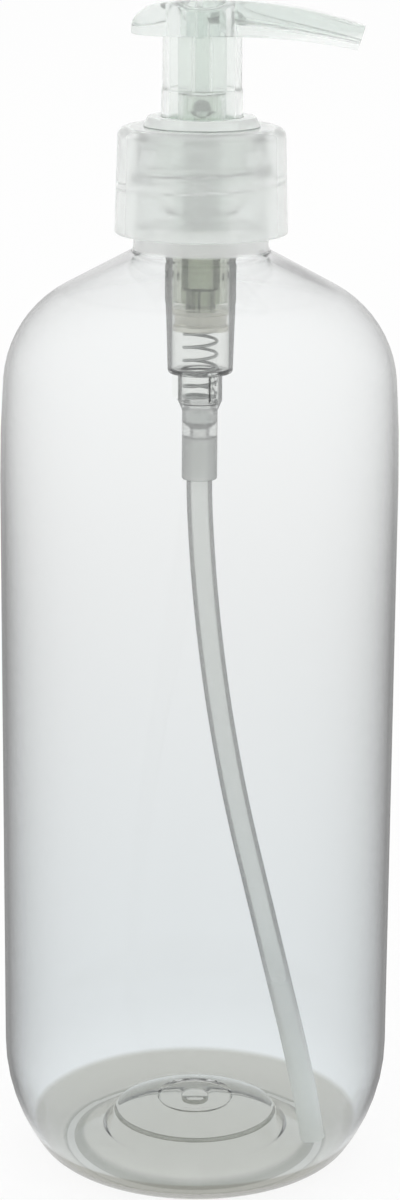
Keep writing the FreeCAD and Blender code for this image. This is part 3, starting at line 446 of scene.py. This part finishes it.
def suction_tube():
    """Straight in its socket, then bent by three arcs to the foot of the bottle."""
    top, tail_foot = high["dip_tube"].z, low["housing"].z
    foot = Vector((STAND_R - 1.2 * MM, 3.05 * MM))
    start_r, start_angle = 120 * MM, math.radians(3)
    return_r, return_angle = 310 * MM, math.radians(4)
    bow = math.radians(3.84)
    lean = math.atan(foot.x / (tail_foot - foot.y)) + bow
    turn, end_lean = lean - start_angle, lean - return_angle
    start = Vector((start_r * (1 - math.cos(start_angle)), tail_foot - start_r * math.sin(start_angle)))
    aside = return_r * (1 - math.cos(return_angle))
    gap = start - foot
    bend_r = (gap.x * math.cos(lean) + gap.y * math.sin(lean) - aside) / (1 - math.cos(turn))
    bend = start + bend_r * Vector((math.cos(start_angle) - math.cos(lean),
                                    math.sin(start_angle) - math.sin(lean)))
    run = foot + return_r * Vector((math.cos(lean) - math.cos(end_lean),
                                    math.sin(lean) - math.sin(end_lean)))
    bpy.ops.object.select_all(action="DESELECT")
    bpy.ops.mesh.primitive_circle_add(vertices=TUBE_SIDES, radius=TUBE_R, location=(0, 0, top))
    piece = bpy.context.object
    piece.name = "suction_tube"
    piece.data.name = "suction_tube"
    bpy.ops.object.transform_apply(location=True, rotation=False, scale=False)
    bpy.ops.object.mode_set(mode="EDIT")
    bpy.ops.mesh.extrude_region_move()
    share = TUBE_BORE_R / TUBE_R
    bpy.ops.transform.resize(value=(share, share, 1), center_override=(0, 0, top))
    bpy.ops.mesh.select_all(action="SELECT")
    bpy.ops.mesh.extrude_region_move(TRANSFORM_OT_translate={"value": (0, 0, tail_foot - top)})
    spin_tube(start_r, 0, start_angle, (0, tail_foot), 1)
    spin_tube(bend_r, start_angle, lean, start, 1)
    step = (run - bend) / RUN_STEPS
    for _ in range(RUN_STEPS):
        bpy.ops.mesh.extrude_region_move(TRANSFORM_OT_translate={"value": (step.x, 0, step.y)})
    spin_tube(return_r, lean, end_lean, run, -1)
    close_up(piece)
    piece.data.transform(Matrix.Rotation(TUBE_HEADING, 4, "Z"))
    smooth(piece)
    return piece


def spin_tube(radius, lean, last_lean, spot, way):
    """Carries the tube's open end round an arc in the XZ plane; way is 1 where it leans out more."""
    centre = (spot[0] + way * radius * math.cos(lean), 0, spot[1] + way * radius * math.sin(lean))
    steps = max(LEAST_BEND_STEPS, math.ceil(abs(last_lean - lean) / BEND_STEP))
    bpy.ops.mesh.spin(steps=steps, angle=last_lean - lean, center=centre, axis=(0, 1, 0))


# Return spring
SPRING_WIRE = 0.55 * MM
SPOTS_PER_TURN = 48
WIRE_ROUNDING = 6
WIRE_SMOOTH = math.radians(50)


def wound_spring():
    """One round wire, wound closer at its two ends."""
    seat, top = low["return_spring"].z, high["return_spring"].z
    coil_r = high["return_spring"].x - SPRING_WIRE / 2
    end_pitch, pitch = 1.3 * MM, 2.35 * MM
    length = top - seat - SPRING_WIRE
    middle = length - 2 * end_pitch
    quarters = round(4 * middle / pitch)
    turns = 2 + quarters / 4
    spots = []
    for index in range(round(turns * SPOTS_PER_TURN) + 1):
        turn = index / SPOTS_PER_TURN
        from_end = min(turn, 1) + max(turn - turns + 1, 0)
        height = from_end * end_pitch + (turn - from_end) * middle / (turns - 2)
        angle = turn * FULL_TURN
        spots.append((coil_r * math.cos(angle), coil_r * math.sin(angle), seat + SPRING_WIRE / 2 + height))
    line = bpy.data.curves.new("wound_spring", "CURVE")
    line.dimensions = "3D"
    line.bevel_depth = SPRING_WIRE / 2
    line.bevel_resolution = WIRE_ROUNDING
    line.use_fill_caps = True
    spline = line.splines.new("POLY")
    spline.points.add(len(spots) - 1)
    for point, spot in zip(spline.points, spots):
        point.co = (*spot, 1)
    piece = bpy.data.objects.new("wound_spring", line)
    bpy.context.collection.objects.link(piece)
    only(piece)
    bpy.ops.object.convert(target="MESH")
    bpy.ops.object.mode_set(mode="EDIT")
    close_up(piece)
    smooth(piece, WIRE_SMOOTH)
    return piece


# Actuator head
CROWN = high["actuator_head"].z
HEAD_HEIGHT = 5.6 * MM
HEAD_UNDER = CROWN - HEAD_HEIGHT
REAR_REACH = -low["actuator_head"].x
SPOUT_REACH = high["actuator_head"].x
HEAD_HALF = high["actuator_head"].y
TIP_HALF = 3.2 * MM
SPOUT_START = 4 * MM
CROWN_R = 77 * MM
UNDER_R = 112 * MM
CHANNEL_Z = CROWN - 3 * MM
CHANNEL_R = 1.2 * MM
CHANNEL_BEND = 115 * MM
CHANNEL_STEPS = 16
LIP = 2.3 * MM
PLAN_STEP = 0.4 * MM
ROW_STEP = MM


def half_width(along):
    """Half the head's width at a distance along it: full, then narrowing to the spout's grooved lip."""
    taper = (HEAD_HALF - TIP_HALF) / (SPOUT_REACH - SPOUT_START)
    past, turn = along - SPOUT_START, 4 * MM
    groove_depth, groove_half = 0.15 * MM, 0.4 * MM
    if past < turn:
        past = max(past + turn, 0) ** 2 / (4 * turn)
    groove = groove_depth * clamp(1 - abs(SPOUT_REACH - LIP - along) / groove_half)
    return HEAD_HALF - taper * past - groove


def head_plan():
    """The head from above: a round rear, then both sides to the spout's tip."""
    rear = HEAD_HALF - REAR_REACH
    count = math.ceil((SPOUT_REACH - rear) / PLAN_STEP)
    places = [rear + (SPOUT_REACH - rear) * (index + 1) / count for index in range(count)]
    near_side = [(along, -half_width(along)) for along in places]
    far_side = [(along, half_width(along)) for along in reversed(places)]
    round_rear = [spot[:2] for spot in arc((rear, 0), HEAD_HALF, 90, 270)]
    plan = round_rear + near_side + [(SPOUT_REACH, 0)] + far_side
    return [Vector((*spot, 0)) for spot in plan + plan[:1]]


def head_rows():
    """How far in from its outline, and how high, each row of the head lies, from below to above."""
    under_ease, side_height, crown_reach = 0.25 * MM, 1.4 * MM, 4.6 * MM
    crown_rise = HEAD_HEIGHT - side_height
    below = arc((under_ease, under_ease), under_ease, 270, 180, 5 * ARC_STEP)
    above = arc((1, 0), 1, 180, 90)
    edge = [spot[:2] for spot in below]
    edge += [(crown_reach * across, side_height + crown_rise * up) for across, up, _ in above]
    return [(HEAD_HALF, 0)] + edge + [(HEAD_HALF, HEAD_HEIGHT)]


def drop(radius, across):
    """How far an arc falls below its highest point."""
    return radius - math.sqrt(radius ** 2 - across ** 2)


def form_head(piece, levels):
    """Draws in each level row of an upright block, lifts it, and droops it along the spout."""
    rear, crown_shift, lip_slant = HEAD_HALF - REAR_REACH, 2 * MM, 1.25 * MM
    for vertex in piece.data.vertices:
        inset, height = levels[round(vertex.co.z / ROW_STEP)]
        share, lift = 1 - inset / HEAD_HALF, height / HEAD_HEIGHT
        along = vertex.co.x
        if along < rear:
            along = rear + (along - rear) * share
        out = max(along - SPOUT_START, 0)
        along -= lip_slant * (1 - lift) * out / (SPOUT_REACH - SPOUT_START)
        under = HEAD_UNDER - drop(UNDER_R, out)
        top = CROWN - drop(CROWN_R, along - crown_shift)
        vertex.co = (along, vertex.co.y * share, under + (top - under) * lift)


def press_head():
    """Crowned head with a drooping spout, on a skirt with the stem's socket inside."""
    skirt_foot = low["actuator_head"].z
    foot_r, skirt_r, inner_r = 6.77 * MM, 6.6 * MM, 5.5 * MM
    skirt_step = skirt_foot + 6.4 * MM
    boss_foot, boss_r, socket_r = skirt_foot + 0.75 * MM, 4.03 * MM, 3.23 * MM
    stem_top = high["stem"].z
    roof, roof_ease = CROWN - 1.5 * MM, 0.5 * MM
    overlap = MM
    sleeve_start, sleeve_end, sleeve_r = boss_r - 0.5 * MM, inner_r + 0.3 * MM, CHANNEL_R + MM
    channel_end = SPOUT_REACH + 2 * MM
    levels = head_rows()
    piece = trace("press_head", head_plan())
    bpy.ops.mesh.remove_doubles(threshold=WELD)
    for _ in levels[1:]:
        bpy.ops.mesh.extrude_region_move(TRANSFORM_OT_translate={"value": (0, 0, ROW_STEP)})
    bpy.ops.object.mode_set(mode="OBJECT")
    form_head(piece, levels)
    bpy.ops.object.mode_set(mode="EDIT")
    close_up(piece)
    combine(piece, turned("skirt", [
        (0, skirt_foot),
        (foot_r, skirt_foot),
        (foot_r, skirt_step),
        (skirt_r, skirt_step + foot_r - skirt_r),
        (skirt_r, HEAD_UNDER + overlap),
        (0, HEAD_UNDER + overlap),
    ], closed=False), "UNION")
    combine(piece, turned("hollow", [
        (0, skirt_foot - overlap),
        (inner_r, skirt_foot - overlap, 0),
        (inner_r, roof, roof_ease),
        (boss_r, roof, roof_ease),
        (boss_r, boss_foot),
        (socket_r, boss_foot),
        (socket_r, stem_top),
        (CHANNEL_R, stem_top),
        (CHANNEL_R, CHANNEL_Z),
        (0, CHANNEL_Z),
    ], closed=False), "DIFFERENCE")
    combine(piece, channel_bar("sleeve", sleeve_start, sleeve_end, sleeve_r), "UNION")
    combine(piece, channel_bar("channel", 0, channel_end, CHANNEL_R), "DIFFERENCE")
    bpy.ops.object.mode_set(mode="EDIT")
    close_up(piece)
    smooth(piece)
    return piece


def channel_bar(name, start, finish, radius):
    """A round bar along the spout's bent channel, between two distances from the axis."""
    first, last = math.asin(start / CHANNEL_BEND), math.asin(finish / CHANNEL_BEND)
    bpy.ops.object.select_all(action="DESELECT")
    bpy.ops.mesh.primitive_circle_add(vertices=TUBE_SIDES, radius=radius, fill_type="NGON",
                                      location=(0, 0, CHANNEL_Z), rotation=(0, math.pi / 2, 0))
    bar = bpy.context.object
    bar.name = name
    bpy.ops.object.transform_apply(location=True, rotation=True, scale=False)
    centre = Vector((0, 0, CHANNEL_Z - CHANNEL_BEND))
    bar.data.transform(Matrix.Translation(centre) @ Matrix.Rotation(first, 4, "Y")
                       @ Matrix.Translation(-centre))
    bpy.ops.object.mode_set(mode="EDIT")
    bpy.ops.mesh.select_all(action="SELECT")
    bpy.ops.mesh.spin(steps=CHANNEL_STEPS, angle=last - first, center=centre, axis=(0, -1, 0))
    return close_up(bar)


# Shader sums
class Wire:
    """A shader socket that can be added, taken away and multiplied."""

    def __init__(self, finish, socket):
        self.finish = finish
        self.socket = socket

    def sum_with(self, operation, first, second):
        """The socket of one sum."""
        return self.finish.node("ShaderNodeMath", {"operation": operation}, {0: first, 1: second})

    def __add__(self, other):
        return self.sum_with("ADD", self, other)

    def __radd__(self, other):
        return self.sum_with("ADD", other, self)

    def __sub__(self, other):
        return self.sum_with("SUBTRACT", self, other)

    def __rsub__(self, other):
        return self.sum_with("SUBTRACT", other, self)

    def __mul__(self, other):
        return self.sum_with("MULTIPLY", self, other)

    def __rmul__(self, other):
        return self.sum_with("MULTIPLY", other, self)


class Finish:
    """A material, or the world, being wired up."""

    def __init__(self, owner):
        owner.use_nodes = True
        self.owner = owner
        self.tree = owner.node_tree
        self.tree.nodes.clear()

    def node(self, kind, settings, values, out=0):
        """One node: its settings first, then the values or links of its sockets."""
        node = self.tree.nodes.new(kind)
        for name, setting in settings.items():
            setattr(node, name, setting)
        for name, value in values.items():
            if isinstance(value, Wire):
                self.tree.links.new(value.socket, node.inputs[name])
            else:
                node.inputs[name].default_value = value
        return Wire(self, node.outputs[out]) if node.outputs else None

    def place(self, stretch=(1, 1, 1)):
        """The place on the piece, in metres, stretched along each axis."""
        spot = self.node("ShaderNodeTexCoord", {}, {}, "Object")
        return self.node("ShaderNodeMapping", {}, {"Vector": spot, "Scale": stretch})

    def cloud(self, per_metre, detail, stretch=(1, 1, 1)):
        """Soft noise from 0 to 1."""
        return self.node("ShaderNodeTexNoise", {"noise_dimensions": "3D"}, {
            "Vector": self.place(stretch), "Scale": per_metre, "Detail": detail, "Roughness": 0.55})

    def height(self):
        """Height on the piece above the surface it stands on, in metres."""
        spot = self.node("ShaderNodeTexCoord", {}, {}, "Object")
        return self.node("ShaderNodeSeparateXYZ", {}, {"Vector": spot}, "Z")

    def off_axis(self):
        """Distance from the bottle's axis, in metres."""
        flat = self.place((1, 1, 0))
        return self.node("ShaderNodeVectorMath", {"operation": "LENGTH"}, {0: flat}, "Value")

    def fade(self, value, start, finish):
        """0 at start and 1 at finish, smoothly."""
        return self.node("ShaderNodeMapRange", {"interpolation_type": "SMOOTHSTEP"}, {
            "Value": value, "From Min": start, "From Max": finish})

    def over(self, value, limit, soft):
        """1 above a limit and 0 below it, with a soft edge on each side."""
        return self.fade(value, limit - soft, limit + soft)

    def under(self, value, limit, soft):
        """1 below a limit and 0 above it, with a soft edge on each side."""
        return self.fade(value, limit + soft, limit - soft)

    def larger(self, first, second):
        """The larger of two shares."""
        return self.node("ShaderNodeMath", {"operation": "MAXIMUM"}, {0: first, 1: second})

    def blend(self, share, first, second):
        """One colour shading into another."""
        return self.node("ShaderNodeMix", {"data_type": "RGBA"}, {0: share, 6: first, 7: second}, 2)

    def glance(self, ior):
        """How far a clear skin turns, at a glance, from what lies behind it to a painted reflection of a dim
        room.
        """
        return self.node("ShaderNodeFresnel", {}, {"IOR": ior})

    def bump(self, height, strength, distance):
        """Small unevenness of a skin."""
        return self.node("ShaderNodeBump", {}, {
            "Height": height, "Strength": strength, "Distance": distance})

    def skin(self, values):
        """One kind of surface."""
        return self.node("ShaderNodeBsdfPrincipled", {}, values)

    def show(self, wire):
        """Links a finished surface to the output."""
        kind = "World" if isinstance(self.owner, bpy.types.World) else "Material"
        self.node(f"ShaderNodeOutput{kind}", {}, {"Surface": wire})

    def surface(self, values):
        """A surface of one kind."""
        self.show(self.skin(values))

    def two_surfaces(self, share, first, second):
        """A surface that passes from one kind to another."""
        self.show(self.node("ShaderNodeMixShader", {}, {
            0: share, 1: self.skin(first), 2: self.skin(second)}))


def rgb(red, green, blue):
    """A colour with nothing see-through in it."""
    return (red, green, blue, 1)


# Finishes
# Painted reflection: clear skins darken at a glance as though they mirrored a dim room, though the world
# around is white.
DIM_ROOM = rgb(0.06, 0.065, 0.065)
DARK_EDGE = {"Coat Roughness": 0.0, "Coat IOR": 1.0, "Coat Tint": DIM_ROOM}
PET_IOR = 1.575
PP_IOR = 1.49
PE_IOR = 1.51
GLASS_IOR = 1.52


def clear_pet():
    """Clear blown plastic: faint waves in the wall, a cloudy neck, and a base tinted warm grey as painted
    shade, darkest in a painted shaded band round its standing ring.
    """
    finish = Finish(bpy.data.materials.new("clear_pet"))
    waves = finish.cloud(40, 2, (1, 1, 0.18))
    grain = finish.cloud(900, 3)
    height, across = finish.height(), finish.off_axis()
    tint_start, tint_full = 130 * MM, 10 * MM
    upper = finish.blend(waves, rgb(0.985, 0.995, 0.995), rgb(0.995, 1, 1))
    lower = finish.blend(waves, rgb(0.91, 0.935, 0.945), rgb(0.93, 0.955, 0.965))
    wall = finish.blend(finish.fade(height, tint_start, tint_full), upper, lower)
    # Painted shade: the heel and the dome are tinted warm grey, standing in for the shaded floor seen
    # through the base.
    heel_top, dome_top, dome_edge_r = 5 * MM, 14 * MM, 24.5 * MM
    heel = finish.under(height, heel_top, 0.4 * MM)
    dome = finish.under(across, dome_edge_r, 0.5 * MM) * finish.under(height, dome_top, MM)
    # Painted shade, not wear: a darker band round the standing ring.
    ring_shade_r, ring_shade_inner_r = 23.9 * MM, 20.1 * MM
    ring_shade = finish.under(across, ring_shade_r, 0.5 * MM) * finish.over(across, ring_shade_inner_r, 0.5 * MM)
    foot = finish.blend(ring_shade, rgb(0.64, 0.64, 0.60), rgb(0.42, 0.43, 0.395))
    sides_foot, sides_top = 10 * MM, 135 * MM
    sides = finish.over(height, sides_foot, 6 * MM) * finish.under(height, sides_top, 50 * MM)
    land = finish.under(height, COLLAR_FOOT + 1.5 * MM, 0.5 * MM)
    neck = finish.over(height, NECK_BASE + 0.1 * MM, 0.3 * MM) * (0.1 + 0.9 * land)
    body = {
        "Base Color": finish.blend(finish.larger(heel, dome), wall, foot),
        "Roughness": 0.012 + grain * 0.02,
        "IOR": PET_IOR,
        "Transmission Weight": 1.0,
        "Specular Tint": rgb(0.3, 0.3, 0.3),
        "Coat Weight": finish.glance(PET_IOR) * (0.1 + 0.72 * sides + 0.15 * heel) * (1 - dome),
        "Normal": finish.bump(waves, 0.12, 0.3 * MM),
        **DARK_EDGE,
    }
    cloudy = {
        "Base Color": finish.blend(waves, rgb(0.99, 1, 0.995), rgb(0.997, 1, 0.999)),
        "Roughness": 0.02 + grain * 0.03,
        "IOR": PET_IOR,
        "Transmission Weight": 0.5,
        "Normal": finish.bump(waves, 0.12, 0.3 * MM),
    }
    finish.two_surfaces(neck, body, cloudy)
    return finish.owner


def natural_pp():
    """Milky unpigmented plastic, cloudiest in the collar's ring, greyed by painted shade in the crown, in
    the cup inside the collar and about the stem, darkest where the stem's guide sinks into the collar.
    """
    finish = Finish(bpy.data.materials.new("natural_pp"))
    flow = finish.cloud(120, 4, (1, 1, 0.4))
    grain = finish.cloud(2600, 2)
    height, across = finish.height(), finish.off_axis()
    ring_top = high["chaplet"].z
    crown = finish.over(height, HEAD_UNDER, 0.5 * MM)
    within = finish.under(height, ring_top, MM)
    sunk = finish.under(height, ring_top - MM, MM)
    below = finish.under(height, COLLAR_FOOT - 0.5 * MM, 0.5 * MM)
    core = finish.under(across, GUIDE_R + 0.24 * MM, 0.2 * MM)
    cup = finish.under(across, SLEEVE_R + 0.48 * MM, 0.25 * MM)
    colour = finish.blend(flow, rgb(0.975, 0.995, 0.982), rgb(0.99, 1, 0.993))
    # Painted shade: the cup inside the collar, the guide about the stem and the crown are greyed; the guide
    # is darkest below the ring's top, and a warmer grey below the collar.
    for share, shade in (
        (cup * within, rgb(0.93, 0.96, 0.94)),
        (core, rgb(0.83, 0.87, 0.84)),
        (core * sunk, rgb(0.62, 0.68, 0.64)),
        (core * below, rgb(0.77, 0.785, 0.73)),
        (crown, rgb(0.87, 0.905, 0.885)),
    ):
        colour = finish.blend(share * (0.9 + 0.1 * flow), colour, shade)
    head_milk = 0.19 * (1 - within) * (1 - 0.6 * core)
    collar = finish.under(height, ring_top + 0.5 * MM, 0.5 * MM)
    collar = collar * finish.over(height, COLLAR_FOOT - 0.5 * MM, 0.5 * MM)
    ring = finish.over(height, COLLAR_TOP, 0.2 * MM)
    ring = ring * finish.over(across, CUP_BORE_R - 0.05 * MM, 0.04 * MM)
    wall_r = 9 * MM
    collar_milk = collar * (ring + (1 - ring) * 0.44 * finish.over(across, wall_r, MM))
    skin = {
        "Base Color": colour,
        "Roughness": 0.06 + grain * 0.04 + 0.04 * collar,
        "IOR": PP_IOR,
        "Normal": finish.bump(grain, 0.15, 0.02 * MM),
    }
    finish.two_surfaces(finish.larger(head_milk, collar_milk),
                        {**skin, "Transmission Weight": 0.97},
                        {**skin, "Transmission Weight": 0.4})
    return finish.owner


def inner_pp():
    """Clearer unpigmented plastic of the housing, greyed by painted shade above the piston, milky and greyed
    by painted shade in its tail, and denser of the stem, which painted shade darkens where the collar covers
    it.
    """
    finish = Finish(bpy.data.materials.new("inner_pp"))
    flow = finish.cloud(160, 4, (1, 1, 0.3))
    grain = finish.cloud(2400, 2)
    height, across = finish.height(), finish.off_axis()
    hidden = finish.over(height, NECK_BASE + MM, 2 * MM)
    barrel = finish.over(height, high["piston"].z, MM) * (1 - hidden)
    tail = finish.under(height, high["inlet_ball"].z + 0.5 * MM, 0.5 * MM)
    clear = finish.blend(flow, rgb(0.985, 0.997, 0.98), rgb(0.998, 1, 0.99))
    # Painted shade: the cylinder above the piston and the tail from the inlet ball down are greyed.
    clear = finish.blend(barrel, clear, rgb(0.92, 0.93, 0.90))
    clear = finish.blend(tail, clear, rgb(0.94, 0.95, 0.935))
    stem = finish.under(across, STEM_R + MM, 0.2 * MM)
    stem = stem * finish.over(height, low["stem"].z - 0.1 * MM, 0.1 * MM)
    stem_colour = finish.blend(flow, rgb(0.945, 0.96, 0.925), rgb(0.965, 0.98, 0.945))
    # Painted shade: the stem is darkened where the collar covers it.
    covered = finish.over(height, COLLAR_FOOT + MM, MM)
    covered = covered * finish.under(height, COLLAR_TOP - 0.5 * MM, 0.5 * MM)
    stem_colour = finish.blend(covered, stem_colour, rgb(0.42, 0.47, 0.43))
    ribs = finish.over(across, STAGE_R + 0.08 * MM, 0.07 * MM)
    ribs = ribs * finish.under(height, CYLINDER_END - 0.1 * MM, 0.1 * MM)
    skin = {
        "Base Color": finish.blend(stem, clear, stem_colour),
        "Roughness": 0.02 + grain * 0.04,
        "IOR": PP_IOR,
        "Coat Weight": finish.glance(PP_IOR) * (0.68 - 0.68 * hidden) * (1 - ribs),
        "Normal": finish.bump(grain, 0.1, 0.02 * MM),
        **DARK_EDGE,
    }
    finish.two_surfaces(0.5 * tail,
                        {**skin, "Transmission Weight": 0.95},
                        {**skin, "Transmission Weight": 0.4})
    return finish.owner


def gasket_foam():
    """Soft foam ring, whitish and translucent, pitted by its cells."""
    finish = Finish(bpy.data.materials.new("gasket_foam"))
    cells = finish.cloud(3200, 2)
    finish.surface({
        "Base Color": finish.blend(cells, rgb(0.90, 0.93, 0.91), rgb(0.95, 0.97, 0.955)),
        "Roughness": 0.2 + cells * 0.15,
        "IOR": PP_IOR,
        "Transmission Weight": 0.85,
        "Normal": finish.bump(cells, 0.3, 0.05 * MM),
    })
    return finish.owner


def piston_pe():
    """Soft plastic of the piston, faintly yellow."""
    finish = Finish(bpy.data.materials.new("piston_pe"))
    flow = finish.cloud(300, 3)
    finish.surface({
        "Base Color": finish.blend(flow, rgb(0.82, 0.81, 0.75), rgb(0.86, 0.85, 0.80)),
        "Roughness": 0.03 + flow * 0.04,
        "IOR": PE_IOR,
        "Transmission Weight": 0.6,
        "Normal": finish.bump(flow, 0.1, 0.03 * MM),
    })
    return finish.owner


def spring_steel():
    """Drawn wire, with fine marks along it."""
    finish = Finish(bpy.data.materials.new("spring_steel"))
    marks = finish.cloud(1800, 3)
    finish.surface({
        "Base Color": finish.blend(marks, rgb(0.30, 0.31, 0.31), rgb(0.46, 0.47, 0.47)),
        "Metallic": 1.0,
        "Roughness": 0.26 + marks * 0.16,
        "Normal": finish.bump(marks, 0.1, 0.01 * MM),
    })
    return finish.owner


def ball_glass():
    """Glass bead, with a faint green cast."""
    finish = Finish(bpy.data.materials.new("ball_glass"))
    cords = finish.cloud(500, 3)
    finish.surface({
        "Base Color": finish.blend(cords, rgb(0.63, 0.68, 0.66), rgb(0.71, 0.75, 0.73)),
        "Roughness": 0.02 + cords * 0.03,
        "IOR": GLASS_IOR,
        "Transmission Weight": 1.0,
        "Coat Weight": finish.glance(GLASS_IOR),
        **DARK_EDGE,
    })
    return finish.owner


def ball_steel():
    """Polished steel ball, coloured far darker than steel: painted shade of the stem it sits in."""
    finish = Finish(bpy.data.materials.new("ball_steel"))
    marks = finish.cloud(1500, 4)
    finish.surface({
        "Base Color": finish.blend(marks, rgb(0.08, 0.085, 0.085), rgb(0.14, 0.145, 0.145)),
        "Metallic": 1.0,
        "Roughness": 0.18 + marks * 0.14,
    })
    return finish.owner


def tube_pe():
    """Waxy, half-clear tube, cloudier at its foot, with faint drawing lines along it."""
    finish = Finish(bpy.data.materials.new("tube_pe"))
    flow = finish.cloud(260, 3, (1, 1, 0.06))
    skin = {
        "Base Color": finish.blend(flow, rgb(0.945, 0.955, 0.94), rgb(0.96, 0.97, 0.955)),
        "Roughness": 0.05 + flow * 0.06,
        "IOR": PE_IOR,
        "Normal": finish.bump(flow, 0.1, 0.04 * MM),
    }
    clear = {
        **skin,
        "Transmission Weight": 0.85,
        "Coat Weight": finish.glance(PE_IOR) * 0.6,
        **DARK_EDGE,
    }
    cloud_start, cloud_full = 45 * MM, 8 * MM
    foot = finish.fade(finish.height(), cloud_start, cloud_full)
    finish.two_surfaces(foot, clear, {**skin, "Transmission Weight": 0.4})
    return finish.owner


# Pieces on their bodies
finishes = {make.__name__: make() for make in (
    clear_pet, natural_pp, inner_pp, gasket_foam, piston_pe, spring_steel, ball_glass, ball_steel, tube_pe)}


def settle(piece, body, slot, node):
    """Gives a new piece its finish, and puts it on its body in place of a node."""
    piece.data.materials.clear()
    piece.data.materials.append(finishes[slot])
    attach(piece, body)
    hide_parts(node)


settle(bottle_shell(), "bottle", "clear_pet", "bottle")
settle(screw_collar(), "closure", "natural_pp", "collar")
settle(chaplet_ring(), "pump", "natural_pp", "chaplet")
settle(pump_housing(), "pump", "inner_pp", "housing")
settle(suction_tube(), "pump", "tube_pe", "dip_tube")
settle(press_head(), "plunger", "natural_pp", "actuator_head")
spring = wound_spring()
settle(spring, "spring", "spring_steel", "return_spring")
stroke = next(joint["range_m"][1] for joint in frame["joints"] if joint["name"] == "pump_stroke")
spring_top, spring_seat = high["return_spring"].z, low["return_spring"].z
1 - stroke / (spring_top - spring_seat)
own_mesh(spring)
for node_name, slot in {
    "gasket": "gasket_foam",
    "stem": "inner_pp",
    "stem_plug": "inner_pp",
    "piston": "piston_pe",
    "inlet_ball": "ball_glass",
    "outlet_ball": "ball_steel",
}.items():
    node = frame["nodes"][node_name]
    node.data.materials.clear()
    node.data.materials.append(finishes[slot])


# Floor, world and lamps
def seen_directly(finish):
    """1 for what the camera sees straight, by reflection or through something clear."""
    camera, glossy, clear = (finish.node("ShaderNodeLightPath", {}, {}, name)
                             for name in ("Is Camera Ray", "Is Glossy Ray", "Is Transmission Ray"))
    total = camera + glossy + clear
    return finish.node("ShaderNodeMath", {"operation": "MINIMUM"}, {0: total, 1: 1.0})


def lay_floor():
    """A wide pale floor that keeps the bottle's shadow."""
    size, shadow = 14.0, 0.14
    bpy.ops.object.select_all(action="DESELECT")
    bpy.ops.mesh.primitive_plane_add(size=size, location=(0, 0, 0))
    floor = bpy.context.object
    floor.name = "floor"
    finish = Finish(bpy.data.materials.new("floor_white"))
    matt = finish.node("ShaderNodeBsdfDiffuse", {}, {"Color": rgb(0.93, 0.93, 0.925)})
    white = finish.node("ShaderNodeEmission", {}, {"Color": rgb(1, 1, 1), "Strength": 1.0})
    share = seen_directly(finish) * (1 - shadow)
    finish.show(finish.node("ShaderNodeMixShader", {}, {0: share, 1: matt, 2: white}))
    finish.owner.cycles.emission_sampling = "NONE"
    floor.data.materials.append(finish.owner)


def light_world(level):
    """An even white room: its own level on matt surfaces, plain white where it is seen."""
    world = bpy.data.worlds.new("studio")
    bpy.context.scene.world = world
    finish = Finish(world)
    strength = level + seen_directly(finish) * (1 - level)
    finish.show(finish.node("ShaderNodeBackground", {}, {"Color": rgb(1, 1, 1), "Strength": strength}))


def soft_lamp(name, place, size, watts):
    """A square soft box aimed at the middle of the bottle."""
    lamp = bpy.data.lights.new(name, "AREA")
    lamp.size = size
    lamp.energy = watts
    holder = bpy.data.objects.new(name, lamp)
    bpy.context.collection.objects.link(holder)
    holder.location = place
    aim = Vector((0, 0, RIM / 2)) - holder.location
    holder.rotation_euler = aim.to_track_quat("-Z", "Y").to_euler()
    holder.visible_camera = False
    holder.visible_glossy = False
    holder.visible_transmission = False


lay_floor()
light_world(level=0.95)
soft_lamp("key_box", place=(-1.3, -1.1, 1.5), size=1.0, watts=2)
soft_lamp("fill_box", place=(1.4, -0.9, 1.1), size=1.0, watts=1)
soft_lamp("back_box", place=(0.2, 1.6, 1.4), size=1.0, watts=1)


# Camera, at the photograph's place: half a metre off, a little above, looking slightly down
def set_camera():
    """Sets the view: its focal length in pixels of the picture, its tilt in radians, its place in metres."""
    frame_height, sensor = 1200, 36.0
    focal, pitch, roll = 3053.44, 0.2618, 0.0074
    place = (0.00026, -0.510, 0.23775)
    view = bpy.data.cameras.new("camera")
    view.sensor_width = sensor
    view.lens = focal * sensor / frame_height
    view.clip_start = 0.01
    view.clip_end = 100
    camera = bpy.data.objects.new("camera", view)
    bpy.context.collection.objects.link(camera)
    tilt = Matrix.Rotation(math.pi / 2 - pitch, 4, "X") @ Matrix.Rotation(roll, 4, "Z")
    camera.matrix_world = Matrix.Translation(place) @ tilt
    bpy.context.scene.camera = camera


set_camera()
studio = bpy.context.scene
studio.view_settings.view_transform = "Standard"
studio.cycles.max_bounces = 64
studio.cycles.transmission_bounces = 48
studio.cycles.diffuse_bounces = 16
studio.cycles.glossy_bounces = 16
studio.cycles.blur_glossy = 0.0
